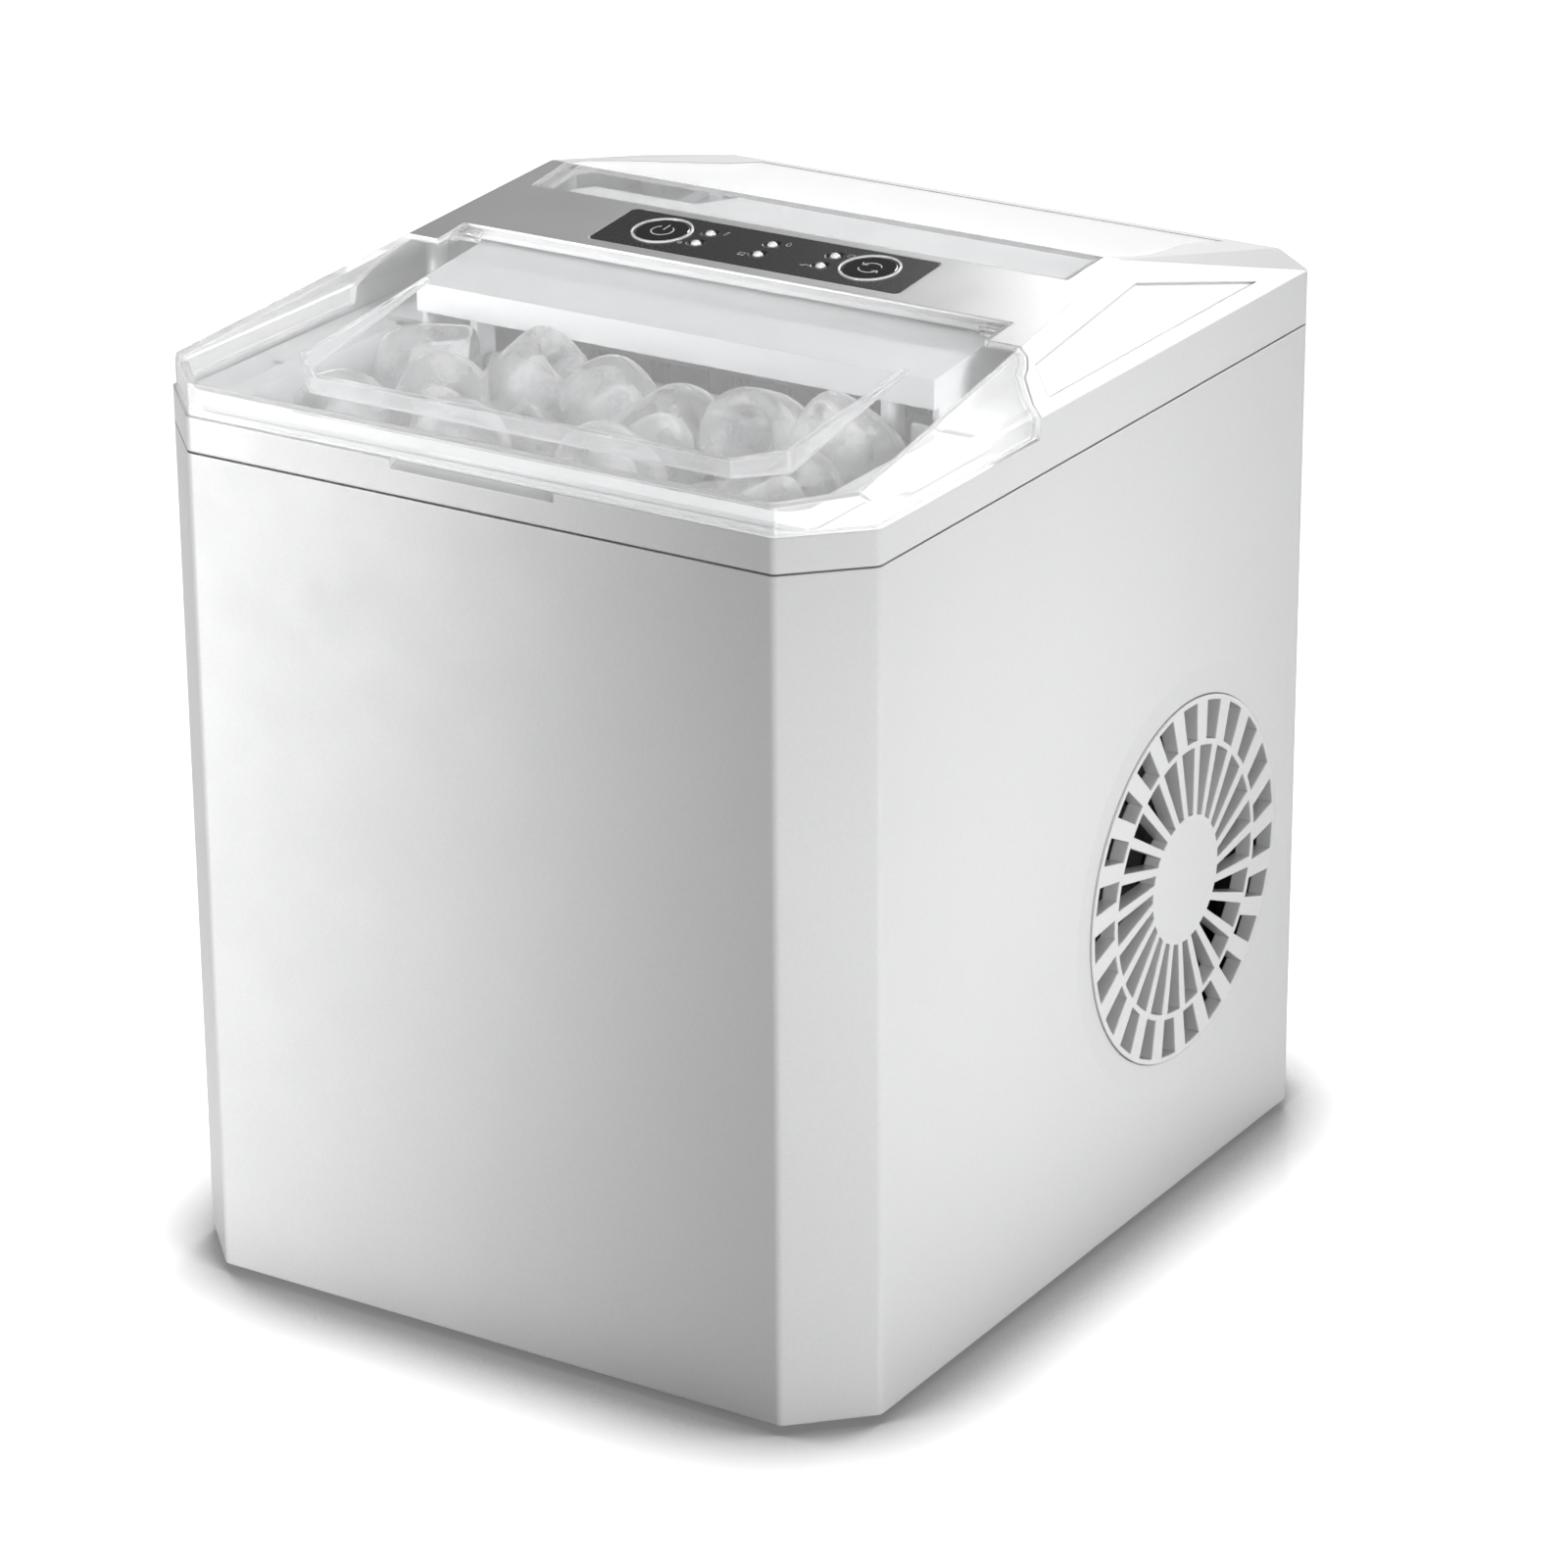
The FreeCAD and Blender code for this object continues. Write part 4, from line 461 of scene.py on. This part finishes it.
def dress_metals():
    dress(["base_pan", "evaporator_bracket", "tact_switches"],
          metal_finish("zinc_sheet", (0.62, 0.63, 0.65), 0.38, (1.0, 0.2, 1.0)))
    dress(["rear_panel_screws", "foot_screws", "cover_screws", "board_screws", "compressor_bolts",
           "hinge_pins", "tray_shaft", "pusher_rod"],
          metal_finish("bright_steel", (0.72, 0.72, 0.73), 0.24, edge=0.15))
    dress(["evaporator_manifold", "freezing_fingers"],
          metal_finish("nickel", (0.72, 0.70, 0.66), 0.22, tarnish=(0.5, 0.48, 0.44)))
    dress(["condenser_coil", "discharge_line", "filter_drier", "drier_inlet_line", "capillary_line"],
          metal_finish("copper", (0.72, 0.36, 0.22), 0.28, tarnish=(0.32, 0.15, 0.09)))
    dress(["condenser_fins"], metal_finish("fins", (0.8, 0.81, 0.82), 0.3, (1.0, 1.0, 0.1)))
    dress(["hot_gas_valve"], metal_finish("brass", (0.62, 0.46, 0.2), 0.3))


def dress_soft_parts():
    """Rubber, foam and the circuit board."""
    dress(["rubber_feet", "compressor_grommets", "drain_seal", "suction_line"],
          rubbery("rubber", (0.018, 0.018, 0.018)))
    dress(["water_hose"], rubbery("silicone", (0.42, 0.43, 0.42), 0.45))
    dress(["insulation"], foam_material())
    dress(["control_board"], board_material())


# ---------------------------------------------------------------- mesh helpers

def mesh_object(name, bm, mat, angle=40.0):
    mesh = bpy.data.meshes.new(name)
    bm.to_mesh(mesh)
    bm.free()
    obj = bpy.data.objects.new(name, mesh)
    bpy.context.scene.collection.objects.link(obj)
    mesh.materials.append(mat)
    smooth(obj, angle)
    return obj


# ---------------------------------------------------------------- ice

def ice_profile(wall, length):
    """Outline of one bullet from the hollow's bottom, out over the mouth and down to the dome."""
    inner = ICE_R - wall
    outline = [(0.0, 0.34 * length), (inner * 0.7, 0.36 * length), (inner, 0.46 * length),
               (inner * 1.1, 0.86 * length), (inner * 1.25, 0.985 * length),
               (ICE_R * 0.84, length), (ICE_R * 0.965, 0.965 * length), (ICE_R, 0.86 * length),
               (ICE_R * 1.02, 0.6 * length), (ICE_R, 0.34 * length), (ICE_R * 0.9, 0.16 * length),
               (ICE_R * 0.62, 0.04 * length), (ICE_R * 0.3, 0.0), (0.0, -0.004 * length)]
    return outline


def join_rings(bm, rings):
    """Skins a stack of rings. A ring of one point closes the skin there."""
    for a, b in zip(rings, rings[1:]):
        for i in range(ICE_STEPS):
            j = (i + 1) % ICE_STEPS
            if len(a) == 1:
                bm.faces.new((a[0], b[i], b[j]))
            elif len(b) == 1:
                bm.faces.new((a[i], b[0], a[j]))
            else:
                bm.faces.new((a[i], b[i], b[j], a[j]))


def ice_bullet(bm, centre, turn, rng):
    """One bullet: rings of points along the outline, moved in and out by smooth noise."""
    length = ICE_LENGTH * rng.uniform(0.92, 1.06)
    wall = ICE_WALL * rng.uniform(0.85, 1.15)
    offset = Vector((rng.uniform(-50, 50), rng.uniform(-50, 50), rng.uniform(-50, 50)))
    rings = []
    for radius, z in ice_profile(wall, length):
        count = 1 if radius == 0 else ICE_STEPS
        ring = []
        for i in range(count):
            angle = 2 * math.pi * i / ICE_STEPS
            point = Vector((radius * math.cos(angle), radius * math.sin(angle), z - length / 2))
            lump = noise.noise(point * 80 + offset) * ICE_LUMP
            away = point.normalized() if point.length > 0 else Vector((0, 0, 1))
            ring.append(bm.verts.new(centre + turn @ (point + away * lump)))
        rings.append(ring)
    join_rings(bm, rings)


def lid_underside(x, y):
    """Height of the lid's lower face over a point of the basket."""
    start = Vector((x, y, UNDER_LID))
    hit, place, _, _ = frame["nodes"]["ice_lid"].ray_cast(start, Vector((0, 0, 1)))
    return place.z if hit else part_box("ice_lid")[0].z


def pusher_sweep():
    """Pivot, reach, furthest swing and half width of the space that the ice pusher moves through."""
    joint = [j for j in frame["record"]["behaviour"]["joints"] if j["name"] == "pusher_swing"][0]
    low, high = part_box("ice_pusher")
    pivot = Vector(joint["pos_m"])
    return pivot, pivot.z - low.z, math.radians(-joint["range_deg"][0]), high.x


def clear_of_pusher(p, sweep):
    """Moves a ball's centre out of the pusher's swing, forwards and away from its pivot."""
    pivot, reach, swing, half = sweep
    away_y, away_z = p.y - pivot.y, p.z - pivot.z
    angle = math.atan2(-away_y, -away_z)
    distance = math.hypot(away_y, away_z)
    if abs(p.x) > half + ICE_SPHERE or distance < TINY:
        return
    if 0 <= angle <= swing:
        if distance < reach + ICE_PUSH_GAP:
            grow = (reach + ICE_PUSH_GAP) / distance
            p.y, p.z = pivot.y + away_y * grow, pivot.z + away_z * grow
        return
    along = distance * math.cos(angle - swing)
    off = distance * math.sin(angle - swing)
    if angle > swing and 0 < along < reach and off < ICE_PUSH_GAP:
        p.y -= (ICE_PUSH_GAP - off) * math.cos(swing)
        p.z += (ICE_PUSH_GAP - off) * math.sin(swing)
    tip_y = pivot.y - reach * math.sin(swing)
    tip_z = pivot.z - reach * math.cos(swing)
    from_tip = math.hypot(p.y - tip_y, p.z - tip_z)
    if along >= reach and TINY < from_tip < ICE_PUSH_GAP:
        grow = ICE_PUSH_GAP / from_tip
        p.y, p.z = tip_y + (p.y - tip_y) * grow, tip_z + (p.z - tip_z) * grow


def push_apart(places):
    """Moves every two balls that overlap apart, each by half of the overlap."""
    gap = 2 * ICE_SPHERE
    count = len(places)
    for i in range(count):
        for j in range(i + 1, count):
            apart = places[i] - places[j]
            if abs(apart.z) >= gap or abs(apart.x) >= gap:
                continue
            distance = apart.length
            if TINY < distance < gap:
                push = apart * ((gap - distance) * 0.5 / distance)
                places[i] += push
                places[j] -= push


def keep_inside(p, low, high, sweep):
    """Moves a ball's centre back between the walls, under the lid and out of the pusher's swing."""
    p.x = min(max(p.x, low.x + ICE_WALL_GAP), high.x - ICE_WALL_GAP)
    over_wall = p.z > BASKET_BACK_TOP + ICE_WALL_GAP
    rear = high.y - (ICE_REAR_GAP if over_wall else ICE_WALL_GAP)
    p.y = min(p.y, rear)
    clear_of_pusher(p, sweep)
    p.y = max(p.y, low.y + ICE_WALL_GAP)
    p.z = min(p.z, lid_underside(p.x, p.y) - ICE_LID_GAP)
    p.z = max(p.z, low.z + ICE_WALL_GAP)


def packed_places(low, high, rng):
    """Settles equal balls in a box: each step lowers them and clears what they run into."""
    places = []
    for _ in range(ICE_COUNT):
        places.append(Vector((rng.uniform(low.x, high.x), rng.uniform(low.y, high.y),
                              rng.uniform(low.z, low.z + 1.5 * (high.z - low.z)))))
    sweep = pusher_sweep()
    for step in range(PACK_STEPS):
        pull = PACK_PULL * (1 - step / PACK_STEPS)
        for p in places:
            p.z -= pull
        push_apart(places)
        for p in places:
            keep_inside(p, low, high, sweep)
    return places


def random_turn(rng):
    """Any way round, tilted 26 to 139 degrees, so that no bullet stands on end."""
    spin = Matrix.Rotation(rng.uniform(0, math.tau), 3, "Z")
    tilt = Matrix.Rotation(math.acos(rng.uniform(-0.75, 0.9)), 3, "X")
    return spin @ tilt


def build_ice():
    rng = random.Random(ICE_SEED)
    low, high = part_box("ice_basket")
    inner_low = Vector((-BASKET_HALF, low.y + BASKET_FRONT, low.z + BASKET_FLOOR))
    inner_high = Vector((BASKET_HALF, BASKET_REAR_Y, high.z))
    bm = bmesh.new()
    for place in packed_places(inner_low, inner_high, rng):
        ice_bullet(bm, place, random_turn(rng), rng)
    ice = mesh_object("ice_bullets", bm, ice_material(), 75.0)
    subdivide = ice.modifiers.new("round", "SUBSURF")
    subdivide.levels = 1
    subdivide.render_levels = 1
    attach(ice, "cabinet")


# ---------------------------------------------------------------- symbols on the panel

def panel_matrix():
    """Frame on the panel's face: x across, y up the slope, z out of it."""
    low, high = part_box("control_overlay")
    tilt = math.atan(PANEL_RISE)
    normal = Vector((0, -math.sin(tilt), math.cos(tilt)))
    origin = (low + high) / 2 + normal * (OVERLAY_T / 2)
    return Matrix.Translation(origin) @ Matrix.Rotation(tilt, 4, "X")


def stroke(bm, points, width, z, closed=False):
    """Flat line of even width along points, as a thin raised strip."""
    count = len(points)
    sides = []
    for i, point in enumerate(points):
        before = points[(i - 1) % count] if closed or i else points[i]
        after = points[(i + 1) % count] if closed or i < count - 1 else points[i]
        along = (Vector(after) - Vector(before)).normalized()
        across = Vector((-along.y, along.x)) * width / 2
        centre = Vector(point)
        sides.append((centre + across, centre - across))
    rows = [[bm.verts.new((*p, z)) for p in pair] for pair in sides]
    pairs = list(zip(rows, rows[1:]))
    if closed:
        pairs.append((rows[-1], rows[0]))
    for a, b in pairs:
        bm.faces.new((a[0], a[1], b[1], b[0]))


def arc(cx, cy, radius, start, end, steps=24):
    return [(cx + radius * math.cos(math.radians(start + (end - start) * i / steps)),
             cy + radius * math.sin(math.radians(start + (end - start) * i / steps)))
            for i in range(steps + 1)]


def symbol_object(name, strokes, mat, body, z, place):
    bm = bmesh.new()
    for points, width, closed in strokes:
        stroke(bm, points, width, z, closed)
    bmesh.ops.recalc_face_normals(bm, faces=bm.faces)
    obj = mesh_object(name, bm, mat)
    solid = obj.modifiers.new("thick", "SOLIDIFY")
    solid.thickness = INK_T
    solid.offset = 0
    obj.matrix_world = place
    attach(obj, body)


def power_strokes():
    """Open ring with an upright bar in its gap."""
    cx, cy = -BUTTON_X, BUTTON_V
    bar = [(cx, cy + 0.6 * MM), (cx, cy + 4.3 * MM)]
    return [(arc(cx, cy, SYMBOL_R, -235, 55), SYMBOL_LINE, False), (bar, SYMBOL_LINE, False)]


def select_strokes():
    """Two arcs that chase each other, each with an arrow head."""
    cx, cy = BUTTON_X, BUTTON_V
    strokes = []
    for half in (0, 180):
        start, end = half + 20, half + 160
        strokes.append((arc(cx, cy, SYMBOL_R, start, end), SYMBOL_LINE, False))
        tip = arc(cx, cy, SYMBOL_R, end, end, 1)[0]
        for lean in (40, -50):
            angle = math.radians(end) - math.pi / 2 + math.radians(lean)
            barb = (tip[0] + ARROW_BARB * math.cos(angle), tip[1] + ARROW_BARB * math.sin(angle))
            strokes.append(([tip, barb], SYMBOL_LINE, False))
    return strokes


def panel_marks():
    """Small marks beside the lamps, one row behind them and one in front."""
    rear = [(BOLT, MM, False), (DROP, MM, True), (SQUARE, MM, True)]
    front = [(SQUARE, 0.55 * MM, True), (SQUARE, MM, True), (WAVE, MM, False)]
    strokes = []
    for side, row in ((1, rear), (-1, front)):
        for column, (outline, size, closed) in zip((-1, 0, 1), row):
            cx = column * LED_PITCH + side * MARK_ASIDE
            cy = BUTTON_V + side * (LED_ROW + MARK_BEYOND)
            points = [(x * size + cx, y * size + cy) for x, y in outline]
            strokes.append((points, MARK_LINE, closed))
    return strokes


def build_symbols():
    ink = plastic("printed_ink", (0.62, 0.63, 0.64), 0.5, 4000.0, 0.01, 0.08, 0.05)
    place = panel_matrix()
    symbol_object("power_symbol", power_strokes(), ink, "power_key", KEY_FACE, place)
    symbol_object("select_symbol", select_strokes(), ink, "select_key", KEY_FACE, place)
    symbol_object("panel_symbols", panel_marks(), ink, "cabinet", PANEL_FACE, place)


# ---------------------------------------------------------------- stage, light, camera

def floor_material():
    """White paper, darker close under the object: a painted contact shadow.

    It glows for the camera, less through clear parts, and in gloss only from well behind."""
    mat, tree, shader, _ = new_material("floor_paper")
    tone = mix_color(tree, remap(tree, noise_value(tree, 3.0), 0.0, 1.0), (0.90, 0.90, 0.90),
                     (0.92, 0.92, 0.92))
    shader.inputs["Roughness"].default_value = 0.9
    shader.inputs["Emission Color"].default_value = (1.0, 1.0, 1.0, 1.0)
    # Painted contact shadow: ambient occlusion darkens the paper's colour and its glow close under the
    # object.
    shade = tree.nodes.new("ShaderNodeAmbientOcclusion")
    shade.samples = 16
    shade.inputs["Distance"].default_value = SHADE_REACH
    clear_of_painted_shadow = remap(tree, shade.outputs["AO"], SHADE_TONE, 1.0, 0.56, 0.97)
    painted_shadow_tone = scaled((0.91, 0.91, 0.91), SHADE_TONE)
    tree.links.new(mix_color(tree, clear_of_painted_shadow, painted_shadow_tone, tone), shader.inputs["Base Color"])
    path = tree.nodes.new("ShaderNodeLightPath")
    split = tree.nodes.new("ShaderNodeSeparateXYZ")
    tree.links.new(object_coords(tree), split.inputs[0])
    behind = remap(tree, split.outputs["Y"], 0.0, 1.0, 1.0, 1.6)
    behind = math_node(tree, "MULTIPLY", behind, path.outputs["Is Glossy Ray"])
    through = math_node(tree, "MULTIPLY", path.outputs["Is Transmission Ray"], GLOW_THROUGH_PLASTIC)
    seen = math_node(tree, "MAXIMUM", path.outputs["Is Camera Ray"], through)
    seen = math_node(tree, "MAXIMUM", seen, behind)
    glow = math_node(tree, "MULTIPLY", clear_of_painted_shadow, seen)
    tree.links.new(math_node(tree, "MULTIPLY", glow, FLOOR_GLOW), shader.inputs["Emission Strength"])
    return mat


def build_floor():
    mesh = bpy.data.meshes.new("floor")
    half = FLOOR_HALF
    mesh.from_pydata([(-half, -half, 0), (half, -half, 0), (half, half, 0), (-half, half, 0)], [],
                     [(0, 1, 2, 3)])
    floor = bpy.data.objects.new("floor", mesh)
    bpy.context.scene.collection.objects.link(floor)
    mesh.materials.append(floor_material())
    floor.location.z = -FLOOR_DROP


def aimed(name, data, place, target):
    light = bpy.data.objects.new(name, data)
    turn = (Vector(target) - Vector(place)).to_track_quat("-Z", "Y")
    light.matrix_world = Matrix.Translation(Vector(place)) @ turn.to_matrix().to_4x4()
    bpy.context.scene.collection.objects.link(light)
    return light


def area_light(name, place, target, width, height, power):
    data = bpy.data.lights.new(name, "AREA")
    data.shape = "RECTANGLE"
    data.size = width
    data.size_y = height
    data.energy = power
    return aimed(name, data, place, target)


def spot_light(name, place, target, cone, radius, power, squeeze=(1.0, 1.0)):
    """Lamp whose light fades evenly from the middle of its cone to the edge."""
    data = bpy.data.lights.new(name, "SPOT")
    data.spot_size = math.radians(cone)
    data.spot_blend = 1.0
    data.shadow_soft_size = radius
    data.energy = power
    light = aimed(name, data, place, target)
    light.scale = (squeeze[0], squeeze[1], 1.0)
    return light


def build_world():
    """Dim surroundings with a long low pale card behind the object."""
    world = bpy.data.worlds.new("studio")
    bpy.context.scene.world = world
    world.use_nodes = True
    tree = world.node_tree
    coords = tree.nodes.new("ShaderNodeTexCoord").outputs["Generated"]
    behind = tree.nodes.new("ShaderNodeVectorMath")
    behind.operation = "DOT_PRODUCT"
    behind.inputs[1].default_value = (math.cos(CARD_TURN), math.sin(CARD_TURN), 0.0)
    tree.links.new(coords, behind.inputs[0])
    split = tree.nodes.new("ShaderNodeSeparateXYZ")
    tree.links.new(coords, split.inputs[0])
    width = remap(tree, behind.outputs["Value"], 0.0, 1.0, 0.35, 0.75)
    height = remap(tree, split.outputs["Z"], 1.0, 0.0, CARD_TOP * 0.5, CARD_TOP)
    card = math_node(tree, "MULTIPLY", width, height)
    level = remap(tree, card, WORLD_DIM, WORLD_DIM + WORLD_CARD, 0.0, 1.0)
    seen = tree.nodes.new("ShaderNodeLightPath").outputs["Is Camera Ray"]
    level = math_node(tree, "MAXIMUM", level, seen)
    background = tree.nodes["Background"]
    background.inputs["Color"].default_value = (1.0, 1.0, 1.0, 1.0)
    tree.links.new(level, background.inputs["Strength"])


def build_lights():
    """Soft sun from overhead, with lamps for the left front, right side, back, roof and flank."""
    sun = bpy.data.lights.new("overhead", "SUN")
    sun.energy = SUN_POWER
    sun.angle = math.radians(50)
    aimed("overhead", sun, (0.1, 0.0, 2.0), (0.0, 0.0, 0.0))
    spot_light("left_fade", (-0.55, -1.30, 0.25), (-0.155, -0.143, 0.16), 16.5, 0.12, LEFT_POWER,
               squeeze=(1.0, 2.4))
    key = spot_light("right_key", (1.50, -0.47, 0.36), (0.11, -0.04, 0.17), 26.0, 0.25, KEY_POWER)
    key.visible_glossy = False
    fill = spot_light("back_fill", (-1.10, 1.10, 0.22), (-0.05, 0.05, 0.15), 40.0, 0.30, FILL_POWER)
    fill.visible_glossy = False
    spot_light("rear_lamp", (-0.401, 1.060, 0.894), (0.05, 0.0, 0.29), 40.0, 0.04, REAR_POWER)
    area_light("flank_softbox", (0.47, 0.94, 0.72), (0.10, 0.0, 0.28), 0.50, 0.40, BOX_POWER)


def build_camera():
    data = bpy.data.cameras.new("camera")
    data.lens = LENS
    data.sensor_width = 36.0
    data.clip_start = 0.01
    data.clip_end = 50.0
    camera = bpy.data.objects.new("camera", data)
    azimuth = math.radians(CAMERA_AZIMUTH)
    elevation = math.radians(CAMERA_ELEVATION)
    roll = math.radians(CAMERA_ROLL)
    back = Vector((math.sin(azimuth) * math.cos(elevation), -math.cos(azimuth) * math.cos(elevation),
                   math.sin(elevation)))
    right = (-back).cross(Vector((0, 0, 1))).normalized()
    up = right.cross(-back)
    rolled_right = right * math.cos(roll) + up * math.sin(roll)
    rolled_up = up * math.cos(roll) - right * math.sin(roll)
    basis = Matrix((rolled_right, rolled_up, back)).transposed().to_4x4()
    camera.matrix_world = Matrix.Translation(Vector(CAMERA_AT)) @ basis
    bpy.context.scene.collection.objects.link(camera)
    bpy.context.scene.camera = camera


def build_scene():
    bpy.context.scene.view_settings.view_transform = "Standard"
    dress_outside()
    dress_mouldings()
    dress_metals()
    dress_soft_parts()
    for node in frame["nodes"].values():
        smooth(node)
    build_ice()
    build_symbols()
    build_floor()
    build_world()
    build_lights()
    build_camera()


build_scene()
